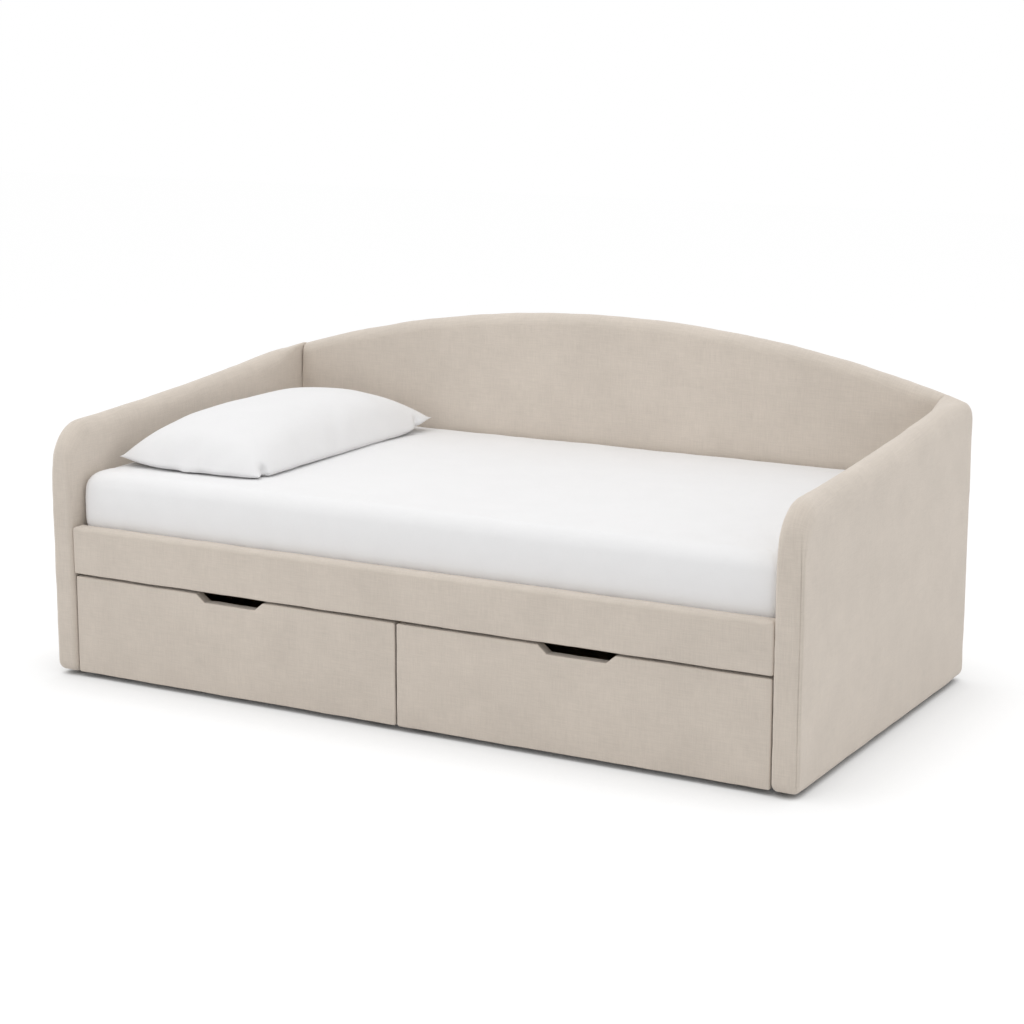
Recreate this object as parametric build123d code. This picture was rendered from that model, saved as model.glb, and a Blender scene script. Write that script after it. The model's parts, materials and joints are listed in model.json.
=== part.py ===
from build123d import *
import math
import os

# Storage daybed: two upholstered arms, an arched back and a front rail round a slatted base,
# with two drawers on casters under it. Millimetres. X runs along the length, -Y is the open
# front, Z is up from the floor, and the origin is on the floor at the middle.

# Mattress and pillow
mattress_length = 1905
mattress_width = 985
mattress_height = 206
mattress_corner = 36
mattress_edge = 38
mattress_foot_edge = 9
mattress_edge_steps = 6
mattress_crown = 2
mattress_end_gap = 7.5
mattress_side_gap = 3
sheet_thickness = 1.2
sheet_tuck = 110
soft_gap = 0.3
pillow_width = 458
pillow_length = 786
pillow_thickness = 156
pillow_arm_gap = 22
pillow_front_share = 0.53

# Arms
arm_thickness = 65
arm_front_height = 651
arm_rear_height = 741
arm_top_sag = 12
arm_front_corner = 92
arm_rear_corner = 66
arm_foot_corner = 24
arm_outer_edge = 26
arm_inner_edge = 18
arm_pad = 15

# Back
back_thickness = 64
arch_rise = 139
arch_end_drop = 4
back_edge = 28
back_front_pad = 15
back_rear_pad = 6

# Front rail
rail_setback = 5
rail_thickness = 40
rail_height = 122
rail_end_corner = 14
rail_front_edge = 12
rail_rear_edge = 6
rail_board_thickness = 22
rail_pad = 5
fabric = 2
fabric_return = 22

# Timber frames under the upholstery
liner_thickness = 3
frame_post = 70
frame_rail = 70
frame_window_corner = 12
arm_bays = 4
back_bays = 6

# Slatted base
ledger_height = 35
ledger_depth = 28
slat_count = 14
slat_width = 70
slat_thickness = 18
slat_end_gap = 2
slat_row_margin = 20
strap_width = 25
strap_thickness = 1.5
strap_place_share = 0.25
beam_width = 30
divider_thickness = 18

# Floor
lift = 10
glide_radius = 15
glide_foot_radius = 11
glide_nail_radius = 2
glide_nail_length = 18

# Steel hardware
bracket_leg = 45
bracket_height = 32
bracket_thickness = 3
bolt_radius = 4
bolt_length = 34
rail_bolt_length = 18
bolt_head_radius = 7
bolt_head_height = 4
bolt_nut_height = 6.5
screw_radius = 2.5
screw_head_radius = 5
ledger_screws_per_row = 5
rail_screw_length = 44
back_screw_length = 70
hanger_thickness = 2.5
hanger_reach = 30
hanger_ear = 22
bore_clearance = 0.1

# Drawers
drawer_floor_gap = 13
drawer_front_height = 251
drawer_rail_gap = 7
drawer_end_gap = 3
drawer_mid_gap = 6
drawer_setback = 9
drawer_front_board = 18
drawer_front_pad = 8
drawer_edge_pad = 4
drawer_front_corner = 6
notch_top_width = 198
notch_bottom_width = 150
notch_depth = 20
notch_lining = 3
box_depth = 600
box_board = 12
box_bottom = 9
box_headroom = 29
box_outer_clearance = 25
box_inner_clearance = 16
batten_width = 40
batten_height = 16
guide_height = 40
guide_running_gap = 0.5
guide_front_gap = 20
guide_screw_inset = 15
guide_screw_bite = 8
guide_screw_long_bite = 26

# Casters
wheel_radius = 19
wheel_width = 14
wheel_side_gap = 0.6
hub_radius = 7
web_width = 7
rim_depth = 5
tread_corner = 2
axle_radius = 3
axle_clearance = 0.05
axle_head_radius = 5
axle_head_height = 1.5
fork_plate = 2
fork_length = 54
fork_cheek_radius = 8
caster_height = 45
caster_end_inset = 60
caster_side_inset = 45
caster_screw_radius = 2
caster_screw_head = 4
caster_screw_length = 8

# Overrun of every cutting shape
overrun = 1

# Overall places
inner_length = mattress_length + 2 * mattress_end_gap
length = inner_length + 2 * arm_thickness
depth = rail_setback + rail_thickness + mattress_width + 2 * mattress_side_gap + back_thickness
front = -depth / 2
rear = depth / 2
arm_inner = inner_length / 2
arm_outer = length / 2
back_front = rear - back_thickness
rail_front = front + rail_setback
rail_rear = rail_front + rail_thickness
rail_board_rear = rail_rear - fabric
drawer_bottom = drawer_floor_gap
drawer_top = drawer_bottom + drawer_front_height
base = drawer_top + drawer_rail_gap
rail_top = base + rail_height
slat_bottom = base + ledger_height
slat_top = slat_bottom + slat_thickness
arm_slope = (arm_rear_height - arm_front_height) / depth
arch_end = arm_front_height + arm_slope * (back_front - front) - arch_end_drop
arch_peak = arch_end + arch_rise
liner_inset = arm_pad + liner_thickness
drawer_face = front + drawer_setback
drawer_board_rear = drawer_face + drawer_front_pad + drawer_front_board
box_rear = drawer_board_rear + box_depth
box_x_in = divider_thickness / 2 + box_inner_clearance
box_x_out = arm_inner - box_outer_clearance
box_floor = caster_height
box_side_base = box_floor + box_bottom
box_top = drawer_top - box_headroom
drawer_x_in = drawer_mid_gap / 2
drawer_x_out = arm_inner - drawer_end_gap
drawer_x_mid = (drawer_x_in + drawer_x_out) / 2
guide_front = drawer_board_rear + fabric + guide_front_gap
guide_mid_z = (box_side_base + box_top) / 2


# Shared shapes
def block(x_low, x_high, y_low, y_high, z_low, z_high):
    middle = Pos((x_low + x_high) / 2, (y_low + y_high) / 2, (z_low + z_high) / 2)
    return middle * Box(x_high - x_low, y_high - y_low, z_high - z_low)


def rod_x(radius, x_low, x_high, y, z):
    return Pos((x_low + x_high) / 2, y, z) * Rot(0, 90, 0) * Cylinder(radius, x_high - x_low)


def rod_y(radius, x, y_low, y_high, z):
    return Pos(x, (y_low + y_high) / 2, z) * Rot(90, 0, 0) * Cylinder(radius, y_high - y_low)


def rod_z(radius, x, y, z_low, z_high):
    return Pos(x, y, (z_low + z_high) / 2) * Cylinder(radius, z_high - z_low)


def slab_x(face, x_low, x_high):
    return extrude(Plane.YZ.offset(x_low) * face, x_high - x_low)


def slab_y(face, y_low, y_high):
    return extrude(Plane.XZ.offset(-y_high) * face, y_high - y_low)


def mirrored(shape):
    return mirror(shape, about=Plane.YZ)


def group(pieces):
    return Compound(list(pieces))


def save(shape, node):
    export_step(shape, f"parts/{node}.step")


def evenly(low, high, count):
    step = (high - low) / (count - 1)
    return [low + step * i for i in range(count)]


def bracket_bolt_offset():
    return (bracket_leg + bracket_thickness) / 2


# Places of the bolts and nails, shared by the holes and by the hardware
bracket_z = base + (ledger_height - bracket_height) / 2
bracket_mid_z = bracket_z + bracket_height / 2
low_bracket_z = lift + frame_rail / 2 - bracket_height / 2
low_bracket_mid_z = low_bracket_z + bracket_height / 2
front_bracket_y = rail_board_rear + bracket_bolt_offset()
rear_bracket_y = back_front - bracket_bolt_offset()
bracket_bolt_x = arm_inner - bracket_bolt_offset()
hanger_bolt_y = beam_width / 2 + hanger_thickness + hanger_ear / 2
arm_bolts = [
    (front_bracket_y, bracket_mid_z),
    (rear_bracket_y, bracket_mid_z),
    (rear_bracket_y, low_bracket_mid_z),
    (-hanger_bolt_y, bracket_mid_z),
    (hanger_bolt_y, bracket_mid_z),
]
divider_bolt_x = divider_thickness / 2 + bracket_bolt_offset()
back_bolts = [
    (side * bracket_bolt_x, z)
    for side in (-1, 1)
    for z in (bracket_mid_z, low_bracket_mid_z)
]
back_bolts += [(side * divider_bolt_x, low_bracket_mid_z) for side in (-1, 1)]
arm_post_y = evenly(front + arm_pad + frame_post / 2, rear - arm_pad - frame_post / 2, arm_bays + 1)
guide_screw_end = box_rear - guide_screw_inset
guide_screw_y = [guide_front + guide_screw_inset] + [y for y in arm_post_y[1:] if y < guide_screw_end]
arm_glide_y = [front + frame_post, rear - frame_post]
back_glide_x = [-arm_inner / 2, arm_inner / 2]
divider_glide_y = [rail_board_rear + frame_post, back_front - frame_post]
ledger_end = arm_inner - bracket_leg - bracket_thickness
ledger_screw_x = evenly(-ledger_end + frame_post, ledger_end - frame_post, ledger_screws_per_row)


def hole_x(radius, x_low, x_high, y, z):
    return rod_x(radius + bore_clearance, x_low - overrun, x_high + overrun, y, z)


def hole_y(radius, x, y_low, y_high, z):
    return rod_y(radius + bore_clearance, x, y_low - overrun, y_high + overrun, z)


def nail_hole(x, y):
    return rod_z(glide_nail_radius + bore_clearance, x, y, 0, lift + glide_nail_length + bore_clearance)


# Arms, modelled for the right side and mirrored for the left
def arm_face(inset, foot_inset):
    steep = math.hypot(1, arm_slope)
    low = lift + foot_inset
    y_front = front + inset
    y_rear = rear - inset
    z_front = arm_front_height + arm_slope * inset - inset * steep
    z_rear = arm_rear_height - arm_slope * inset - inset * steep
    sides = Polyline((y_front, z_front), (y_front, low), (y_rear, low), (y_rear, z_rear))
    top = ThreePointArc((y_rear, z_rear), (0, (z_front + z_rear) / 2 - arm_top_sag), (y_front, z_front))
    face = make_face(sides + top)
    face = fillet(face.vertices().sort_by(Axis.Y)[:2], arm_foot_corner - foot_inset)
    face = fillet(face.vertices().sort_by(Axis.Y)[-1], arm_rear_corner - inset)
    front_top = face.vertices().group_by(Axis.X)[0].sort_by(Axis.Y)[-1]
    return fillet(front_top, arm_front_corner - inset)


def arm_top(y, inset):
    steep = math.hypot(1, arm_slope)
    sag = arm_top_sag * (1 - (y / rear) ** 2)
    return arm_front_height + arm_slope * (y - front) - inset * steep - sag


def arm_bolt_holes(x_low, x_high):
    return [hole_x(bolt_radius, x_low, x_high, y, z) for y, z in arm_bolts]


def guide_screw_holes(x_low, x_high):
    return [hole_x(screw_radius, x_low, x_high, y, guide_mid_z) for y in guide_screw_y]


def arm_cover():
    shell = slab_x(arm_face(0, 0), arm_inner, arm_outer)
    shell = fillet(shell.faces().sort_by(Axis.X)[-1].edges(), arm_outer_edge)
    shell = fillet(shell.faces().sort_by(Axis.X)[0].edges(), arm_inner_edge)
    core = slab_x(arm_face(arm_pad, fabric), arm_inner + arm_pad, arm_outer - arm_pad)
    nails = [nail_hole(arm_inner + arm_thickness / 2, y) for y in arm_glide_y]
    pad_end = arm_inner + arm_pad
    return shell - core - arm_bolt_holes(arm_inner, pad_end) - guide_screw_holes(arm_inner, pad_end) - nails


def arm_liners():
    face = arm_face(arm_pad, fabric)
    near = arm_inner + arm_pad
    far = arm_outer - arm_pad
    inner = slab_x(face, near, near + liner_thickness)
    inner -= arm_bolt_holes(near, near + liner_thickness)
    inner -= guide_screw_holes(near, near + liner_thickness)
    outer = slab_x(face, far - liner_thickness, far)
    return group([inner, outer])


def frame_window(corners):
    return make_face(FilletPolyline(*corners, radius=frame_window_corner, close=True))


def arm_frame():
    inset = arm_pad
    near = arm_inner + liner_inset
    far = arm_outer - liner_inset
    panel = slab_x(arm_face(inset, fabric), near, far)
    low_rail = lift + fabric + frame_rail
    mid_low = base - frame_rail / 4
    mid_high = base + ledger_height + frame_rail / 4
    for left, right in zip(arm_post_y, arm_post_y[1:]):
        y_low = left + frame_post / 2
        y_high = right - frame_post / 2
        lower = [(y_low, low_rail), (y_high, low_rail), (y_high, mid_low), (y_low, mid_low)]
        top_low = arm_top(y_low, inset) - frame_rail
        top_high = arm_top(y_high, inset) - frame_rail
        upper = [(y_low, mid_high), (y_high, mid_high), (y_high, top_high), (y_low, top_low)]
        panel -= slab_x(frame_window(lower), near - overrun, far + overrun)
        panel -= slab_x(frame_window(upper), near - overrun, far + overrun)
    nails = [nail_hole(arm_inner + arm_thickness / 2, y) for y in arm_glide_y]
    bolt_end = arm_inner - bracket_thickness + bolt_length
    screw_end = arm_inner + guide_screw_long_bite
    return panel - arm_bolt_holes(near, bolt_end) - guide_screw_holes(near, screw_end) - nails


# Back panel
def arch_face(inset, end_inset, foot_inset):
    half = arm_inner
    radius = (half**2 + arch_rise**2) / (2 * arch_rise)
    centre = arch_peak - radius
    radius -= inset
    x = arm_inner - end_inset
    z_end = centre + math.sqrt(radius**2 - x**2)
    low = lift + foot_inset
    sides = Polyline((-x, z_end), (-x, low), (x, low), (x, z_end))
    arch = ThreePointArc((x, z_end), (0, centre + radius), (-x, z_end))
    return make_face(sides + arch)


def arch_height(x, inset):
    radius = (arm_inner**2 + arch_rise**2) / (2 * arch_rise)
    return arch_peak - radius + math.sqrt((radius - inset) ** 2 - x**2)


def back_bolt_holes(y_low, y_high):
    return [hole_y(bolt_radius, x, y_low, y_high, z) for x, z in back_bolts]


def back_screw_holes(y_low, y_high):
    z = base + ledger_height / 2
    return [hole_y(screw_radius, x, y_low, y_high, z) for x in ledger_screw_x]


def back_cover():
    shell = slab_y(arch_face(0, 0, 0), back_front, rear)
    arcs = shell.edges().filter_by(GeomType.CIRCLE)
    shell = fillet(arcs, back_edge)
    core = slab_y(arch_face(arm_pad, fabric, fabric), back_front + back_front_pad, rear - back_rear_pad)
    near = back_front
    holes = back_bolt_holes(near, near + back_front_pad) + back_screw_holes(near, near + back_front_pad)
    nails = [nail_hole(x, back_glide_y()) for x in back_glide_x]
    return shell - core - holes - nails


def back_glide_y():
    return (back_front + back_front_pad + rear - back_rear_pad) / 2


def back_liners():
    face = arch_face(arm_pad, fabric, fabric)
    near = back_front + back_front_pad
    far = rear - back_rear_pad
    front_liner = slab_y(face, near, near + liner_thickness)
    front_liner -= back_bolt_holes(near, near + liner_thickness)
    front_liner -= back_screw_holes(near, near + liner_thickness)
    return group([front_liner, slab_y(face, far - liner_thickness, far)])


def back_frame():
    near = back_front + back_front_pad + liner_thickness
    far = rear - back_rear_pad - liner_thickness
    panel = slab_y(arch_face(arm_pad, fabric, fabric), near, far)
    x_end = arm_inner - fabric - frame_post / 2
    posts = evenly(-x_end, x_end, back_bays + 1)
    low_rail = lift + fabric + frame_rail
    mid_low = base - frame_rail / 4
    mid_high = base + ledger_height + frame_rail / 4
    for left, right in zip(posts, posts[1:]):
        x_low = left + frame_post / 2
        x_high = right - frame_post / 2
        lower = [(x_low, low_rail), (x_high, low_rail), (x_high, mid_low), (x_low, mid_low)]
        top_low = arch_height(x_low, arm_pad) - frame_rail
        top_high = arch_height(x_high, arm_pad) - frame_rail
        upper = [(x_low, mid_high), (x_high, mid_high), (x_high, top_high), (x_low, top_low)]
        panel -= slab_y(frame_window(lower), near - overrun, far + overrun)
        panel -= slab_y(frame_window(upper), near - overrun, far + overrun)
    bolt_end = back_front - bracket_thickness + bolt_length
    screw_end = back_front - ledger_depth + back_screw_length
    nails = [nail_hole(x, back_glide_y()) for x in back_glide_x]
    return panel - back_bolt_holes(near, bolt_end) - back_screw_holes(near, screw_end) - nails


# Front rail
def rail_cover():
    shell = block(-arm_inner, arm_inner, rail_front, rail_rear, base, rail_top)
    shell = fillet(shell.edges().filter_by(Axis.Y), rail_end_corner)
    shell = fillet(shell.faces().sort_by(Axis.Y)[0].edges(), rail_front_edge)
    rear_top = shell.faces().sort_by(Axis.Y)[-1].edges().sort_by(Axis.Z)[-1]
    shell = fillet([rear_top], rail_rear_edge)
    window_x = arm_inner - bracket_leg - fabric_return - bracket_thickness
    window = block(-window_x, window_x, rail_board_rear - overrun, rail_rear + overrun,
                   base + fabric_return / 2, rail_top - fabric_return)
    return shell - rail_board_block() - window - rail_end_windows() - rail_ledger_recess()


def rail_board_block():
    return block(-arm_inner + fabric, arm_inner - fabric, rail_board_rear - rail_board_thickness,
                 rail_board_rear, base + fabric, rail_top - rail_pad)


def rail_end_windows():
    cut_low = bracket_z - fabric
    cut_high = bracket_z + bracket_height + fabric
    outer = arm_inner + overrun
    inner = arm_inner - bracket_leg - bracket_thickness
    sides = [(inner, outer), (-outer, -inner)]
    return [block(a, b, rail_board_rear, rail_rear + overrun, cut_low, cut_high) for a, b in sides]


def rail_ledger_recess():
    return block(-ledger_end, ledger_end, rail_board_rear, rail_rear + overrun,
                 base - overrun, base + ledger_height)


def rail_board():
    z = base + ledger_height / 2
    screw_front = rail_board_rear + ledger_depth - rail_screw_length
    bolt_front = rail_board_rear + bracket_thickness - rail_bolt_length
    board = rail_board_block()
    board -= [hole_y(screw_radius, x, screw_front, rail_board_rear, z) for x in ledger_screw_x]
    board -= [hole_y(bolt_radius, s * bracket_bolt_x, bolt_front, rail_board_rear, bracket_mid_z)
              for s in (-1, 1)]
    return board


# Slatted base
def wood_screw(x, y_head, way, reach):
    tip = y_head + way * reach
    shank = rod_y(screw_radius, x, min(y_head, tip), max(y_head, tip), base + ledger_height / 2)
    cone_height = screw_head_radius - screw_radius
    turn = 90 if way > 0 else -90
    y = y_head + way * cone_height / 2
    head = Pos(x, y, base + ledger_height / 2) * Rot(turn, 0, 0) * Cone(
        screw_radius, screw_head_radius, cone_height)
    return shank + head


def countersink(x, y_head, way):
    cone_height = screw_head_radius - screw_radius
    turn = 90 if way > 0 else -90
    y = y_head + way * cone_height / 2
    place = Pos(x, y, base + ledger_height / 2) * Rot(turn, 0, 0)
    return place * Cone(screw_radius + bore_clearance, screw_head_radius + bore_clearance, cone_height)


def ledger(y_low, y_head, way):
    piece = block(-ledger_end, ledger_end, y_low, y_low + ledger_depth, base, slat_bottom)
    z = base + ledger_height / 2
    for x in ledger_screw_x:
        piece -= hole_y(screw_radius, x, y_low, y_low + ledger_depth, z)
        piece -= countersink(x, y_head, way)
    return piece


def front_ledger():
    return ledger(rail_board_rear, rail_board_rear + ledger_depth, -1)


def rear_ledger():
    return ledger(back_front - ledger_depth, back_front - ledger_depth, 1)


def ledger_screws():
    to_rail = [wood_screw(x, rail_board_rear + ledger_depth, -1, rail_screw_length) for x in ledger_screw_x]
    to_back = [wood_screw(x, back_front - ledger_depth, 1, back_screw_length) for x in ledger_screw_x]
    return group(to_rail + to_back)


def slats():
    x_end = arm_inner - slat_row_margin - slat_width / 2
    y_low = rail_rear + slat_end_gap
    y_high = back_front - slat_end_gap
    half = slat_width / 2
    return group(
        block(x - half, x + half, y_low, y_high, slat_bottom, slat_top)
        for x in evenly(-x_end, x_end, slat_count)
    )


def slat_straps():
    x_end = arm_inner - slat_row_margin
    middle = (rail_rear + back_front) / 2
    reach = strap_place_share * (back_front - rail_rear)
    half = strap_width / 2
    low = slat_bottom - strap_thickness
    return group(
        block(-x_end, x_end, y - half, y + half, low, slat_bottom)
        for y in (middle - reach, middle + reach)
    )


def centre_beam():
    x_end = arm_inner - hanger_thickness
    return block(-x_end, x_end, -beam_width / 2, beam_width / 2, base, slat_bottom)


def centre_divider():
    half = divider_thickness / 2
    board = block(-half, half, rail_board_rear, back_front, lift, base)
    board -= hole_x(bolt_radius, -half, half, rear_bracket_y, low_bracket_mid_z)
    bite = half - guide_screw_bite
    board -= [hole_x(screw_radius, bite, half, y, guide_mid_z) for y in guide_screw_y]
    board -= [hole_x(screw_radius, -half, -bite, y, guide_mid_z) for y in guide_screw_y]
    return board - [nail_hole(0, y) for y in divider_glide_y]


# Guide strips that keep each drawer straight, for the right bay
def guide_strip(x_low, x_high, x_head, way):
    half = guide_height / 2
    strip = block(x_low, x_high, guide_front, box_rear, guide_mid_z - half, guide_mid_z + half)
    for y in guide_screw_y:
        strip -= hole_x(screw_radius, x_low, x_high, y, guide_mid_z)
        strip -= screw_cone(x_head, way, y, bore_clearance)
    return strip


def guide_faces():
    inner = (divider_thickness / 2, box_x_in - guide_running_gap)
    outer = (box_x_out + guide_running_gap, arm_inner)
    return inner, outer


def screw_cone(x_head, way, y, spread):
    height = screw_head_radius - screw_radius
    place = Pos(x_head + way * height / 2, y, guide_mid_z) * Rot(0, -90 * way, 0)
    return place * Cone(screw_radius + spread, screw_head_radius + spread, height)


def guide_screw(x_head, way, y, reach):
    tip = x_head + way * reach
    shank = rod_x(screw_radius, min(x_head, tip), max(x_head, tip), y, guide_mid_z)
    return shank + screw_cone(x_head, way, y, 0)


def drawer_guides():
    (in_low, in_high), (out_low, out_high) = guide_faces()
    pair = [guide_strip(in_low, in_high, in_high, -1), guide_strip(out_low, out_high, out_low, 1)]
    return group(pair + [mirrored(strip) for strip in pair])


def guide_screws():
    (in_low, in_high), (out_low, out_high) = guide_faces()
    screws = [guide_screw(in_high, -1, y, in_high - in_low + guide_screw_bite) for y in guide_screw_y]
    screws += [guide_screw(out_low, 1, y, out_high - out_low + guide_screw_long_bite) for y in guide_screw_y]
    return group(screws + [mirrored(screw) for screw in screws])


# Steel hardware
def bracket(x_corner, x_way, y_corner, y_way, z_low):
    outline = Polyline(
        (0, 0), (bracket_leg, 0), (bracket_leg, bracket_thickness), (bracket_thickness, bracket_thickness),
        (bracket_thickness, bracket_leg), (0, bracket_leg), close=True,
    )
    plate = extrude(make_face(outline), bracket_height)
    along_x = rod_y(bolt_radius + bore_clearance, bracket_bolt_offset(), -overrun,
                    bracket_thickness + overrun, bracket_height / 2)
    along_y = rod_x(bolt_radius + bore_clearance, -overrun, bracket_thickness + overrun,
                    bracket_bolt_offset(), bracket_height / 2)
    plate = plate - along_x - along_y
    if x_way < 0:
        plate = mirror(plate, about=Plane.YZ)
    if y_way < 0:
        plate = mirror(plate, about=Plane.XZ)
    return Pos(x_corner, y_corner, z_low) * plate


def corner_brackets():
    pieces = []
    for side in (-1, 1):
        pieces.append(bracket(side * arm_inner, -side, rail_board_rear, 1, bracket_z))
        for z in (bracket_z, low_bracket_z):
            pieces.append(bracket(side * arm_inner, -side, back_front, -1, z))
        pieces.append(bracket(side * divider_thickness / 2, side, back_front, -1, low_bracket_z))
    return group(pieces)


def divider_bolt():
    grip = divider_thickness / 2 + bracket_thickness
    tip = -grip - bolt_nut_height - bracket_thickness
    y = rear_bracket_y
    z = low_bracket_mid_z
    bolt = rod_x(bolt_radius, tip, grip, y, z) + rod_x(bolt_head_radius, grip, grip + bolt_head_height, y, z)
    hexagon = Pos(y, z) * RegularPolygon(bolt_head_radius, 6)
    nut = slab_x(hexagon, -grip - bolt_nut_height, -grip) - hole_x(bolt_radius, tip, grip, y, z)
    return [bolt, nut]


def bolt_x(side, head_face, y, z):
    shank = rod_x(bolt_radius, head_face, head_face + bolt_length, y, z)
    head = rod_x(bolt_head_radius, head_face - bolt_head_height, head_face, y, z)
    bolt = shank + head
    return bolt if side > 0 else mirrored(bolt)


def bolt_y(x, head_face, way, reach, z):
    tip = head_face + way * reach
    crown = head_face - way * bolt_head_height
    shank = rod_y(bolt_radius, x, min(head_face, tip), max(head_face, tip), z)
    return shank + rod_y(bolt_head_radius, x, min(head_face, crown), max(head_face, crown), z)


def frame_bolts():
    head_x = arm_inner - bracket_thickness
    hanger_x = arm_inner - hanger_thickness
    pieces = []
    for side in (-1, 1):
        for y, z in arm_bolts[:3]:
            pieces.append(bolt_x(side, head_x, y, z))
        for y, z in arm_bolts[3:]:
            pieces.append(bolt_x(side, hanger_x, y, z))
        pieces.append(bolt_y(side * bracket_bolt_x, rail_board_rear + bracket_thickness, -1,
                             rail_bolt_length, bracket_mid_z))
    for x, z in back_bolts:
        pieces.append(bolt_y(x, back_front - bracket_thickness, 1, bolt_length, z))
    return group(pieces + divider_bolt())


def beam_hanger():
    wall = hanger_thickness
    pocket = beam_width / 2
    ear = pocket + wall + hanger_ear
    plate = block(arm_inner - wall, arm_inner, -ear, ear, base - wall, slat_bottom)
    reach_x = arm_inner - wall - hanger_reach
    shelf = block(reach_x, arm_inner - wall, -pocket - wall, pocket + wall, base - wall, base)
    cheek = block(reach_x, arm_inner - wall, pocket, pocket + wall, base, slat_bottom)
    hanger = plate + shelf + cheek + mirror(cheek, about=Plane.XZ)
    return hanger - [hole_x(bolt_radius, arm_inner - wall, arm_inner, y, z) for y, z in arm_bolts[3:]]


def beam_hangers():
    hanger = beam_hanger()
    return group([hanger, mirrored(hanger)])


def glide(x, y):
    foot = Pos(x, y, lift / 2) * Cone(glide_foot_radius, glide_radius, lift)
    return foot + rod_z(glide_nail_radius, x, y, lift / 2, lift + glide_nail_length)


def floor_glides():
    arm_x = arm_inner + arm_thickness / 2
    places = [(side * arm_x, y) for side in (-1, 1) for y in arm_glide_y]
    places += [(x, back_glide_y()) for x in back_glide_x]
    places += [(0, y) for y in divider_glide_y]
    return group(glide(x, y) for x, y in places)


# Mattress, fitted sheet and pillow
def rounded_section(x_half, y_half, corner, z):
    return Pos(0, 0, z) * RectangleRounded(2 * x_half, 2 * y_half, corner)


def mattress_form(inset):
    edge = mattress_edge
    foot = mattress_foot_edge
    high = mattress_height - inset
    shoulder = high - mattress_crown
    levels = [(inset, foot), (inset + foot * 2 / 5, foot / 4), (inset + foot, 0)]
    for turn in evenly(0, math.pi / 2, mattress_edge_steps):
        levels.append((shoulder - edge * (1 - math.sin(turn)), edge * (1 - math.cos(turn))))
    levels.append((high - mattress_crown / 3, edge * 2))
    levels.append((high, edge * 4))
    sections = []
    for z, pull in levels:
        x_half = mattress_length / 2 - inset - pull
        y_half = mattress_width / 2 - inset - pull
        sections.append(rounded_section(x_half, y_half, mattress_corner, z))
    middle = (rail_rear + back_front) / 2
    return Pos(0, middle, slat_top) * loft(sections, ruled=True)


def mattress():
    return mattress_form(sheet_thickness + soft_gap)


def fitted_sheet():
    skin = mattress_form(0) - mattress_form(sheet_thickness)
    x_half = mattress_length / 2 - sheet_tuck
    y_half = mattress_width / 2 - sheet_tuck
    middle = (rail_rear + back_front) / 2
    opening = block(-x_half, x_half, middle - y_half, middle + y_half,
                    slat_top - overrun, slat_top + sheet_thickness + overrun)
    return skin - opening


pillow_level_shares = [0.03, 0.09, 0.16, 0.25, 0.4, 0.5, 0.61, 0.71, 0.81, 0.91, 1.0]
pillow_width_shares = [0.46, 0.72, 0.94, 1.0, 0.86, 0.74, 0.58, 0.43, 0.32, 0.2, 0.08]
pillow_length_shares = [0.56, 0.87, 0.97, 1.0, 0.91, 0.85, 0.78, 0.68, 0.54, 0.36, 0.14]
pillow_bow_shares = [0.04, -0.04, -0.17, -0.24, -0.15, -0.07, 0.05, 0.14, 0.16, 0.14, 0.08]


def pillow_section(width_share, length_share, bow_share, z):
    x = width_share * pillow_width / 2
    y = length_share * pillow_length / 2
    out_x = x + bow_share * pillow_width / 2
    out_y = y + bow_share * pillow_width / 2
    sides = ThreePointArc((-x, -y), (0, -out_y), (x, -y))
    sides += ThreePointArc((x, -y), (out_x, 0), (x, y))
    sides += ThreePointArc((x, y), (0, out_y), (-x, y))
    sides += ThreePointArc((-x, y), (-out_x, 0), (-x, -y))
    return Pos(0, 0, z) * make_face(sides)


def pillow():
    shares = zip(pillow_level_shares, pillow_width_shares, pillow_length_shares, pillow_bow_shares)
    sections = [pillow_section(*reach, level * pillow_thickness) for level, *reach in shares]
    form = loft(sections, ruled=True)
    lowest = pillow_level_shares[0] * pillow_thickness
    x = -arm_inner + pillow_arm_gap + pillow_width / 2
    y = rail_rear + pillow_front_share * (back_front - rail_rear)
    z = slat_top + mattress_height + soft_gap - lowest
    return Pos(x, y, z) * form


# Drawers, modelled for the right bay and mirrored for the left
def notch_cut(spread, y_low, y_high):
    top = notch_top_width / 2 + spread
    bottom = notch_bottom_width / 2 + spread
    lean = (notch_top_width - notch_bottom_width) / 2 / notch_depth
    above = top + lean * overrun
    x = drawer_x_mid
    corners = [
        (x - above, drawer_top + overrun), (x - bottom, drawer_top - notch_depth - spread),
        (x + bottom, drawer_top - notch_depth - spread), (x + above, drawer_top + overrun),
    ]
    return slab_y(make_face(Polyline(*corners, close=True)), y_low, y_high)


def front_board_block():
    return block(drawer_x_in + drawer_edge_pad, drawer_x_out - drawer_edge_pad,
                 drawer_face + drawer_front_pad, drawer_board_rear,
                 drawer_bottom + drawer_edge_pad, drawer_top - drawer_edge_pad)


def drawer_front_board_piece():
    return front_board_block() - notch_cut(notch_lining, front, drawer_board_rear + overrun)


def drawer_front_cover():
    back_face = drawer_board_rear + fabric
    shell = block(drawer_x_in, drawer_x_out, drawer_face, back_face, drawer_bottom, drawer_top)
    shell = fillet(shell.faces().sort_by(Axis.Y)[0].edges(), drawer_front_corner)
    shell -= front_board_block() - notch_cut(notch_lining, front, drawer_board_rear + overrun)
    shell -= notch_cut(0, front - overrun, back_face + overrun)
    window = block(drawer_x_in + fabric_return, drawer_x_out - fabric_return,
                   drawer_board_rear, back_face + overrun,
                   drawer_bottom + fabric_return, box_top + fabric)
    return shell - window


def box_side(x_low):
    return block(x_low, x_low + box_board, drawer_board_rear, box_rear, box_side_base, box_top)


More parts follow.
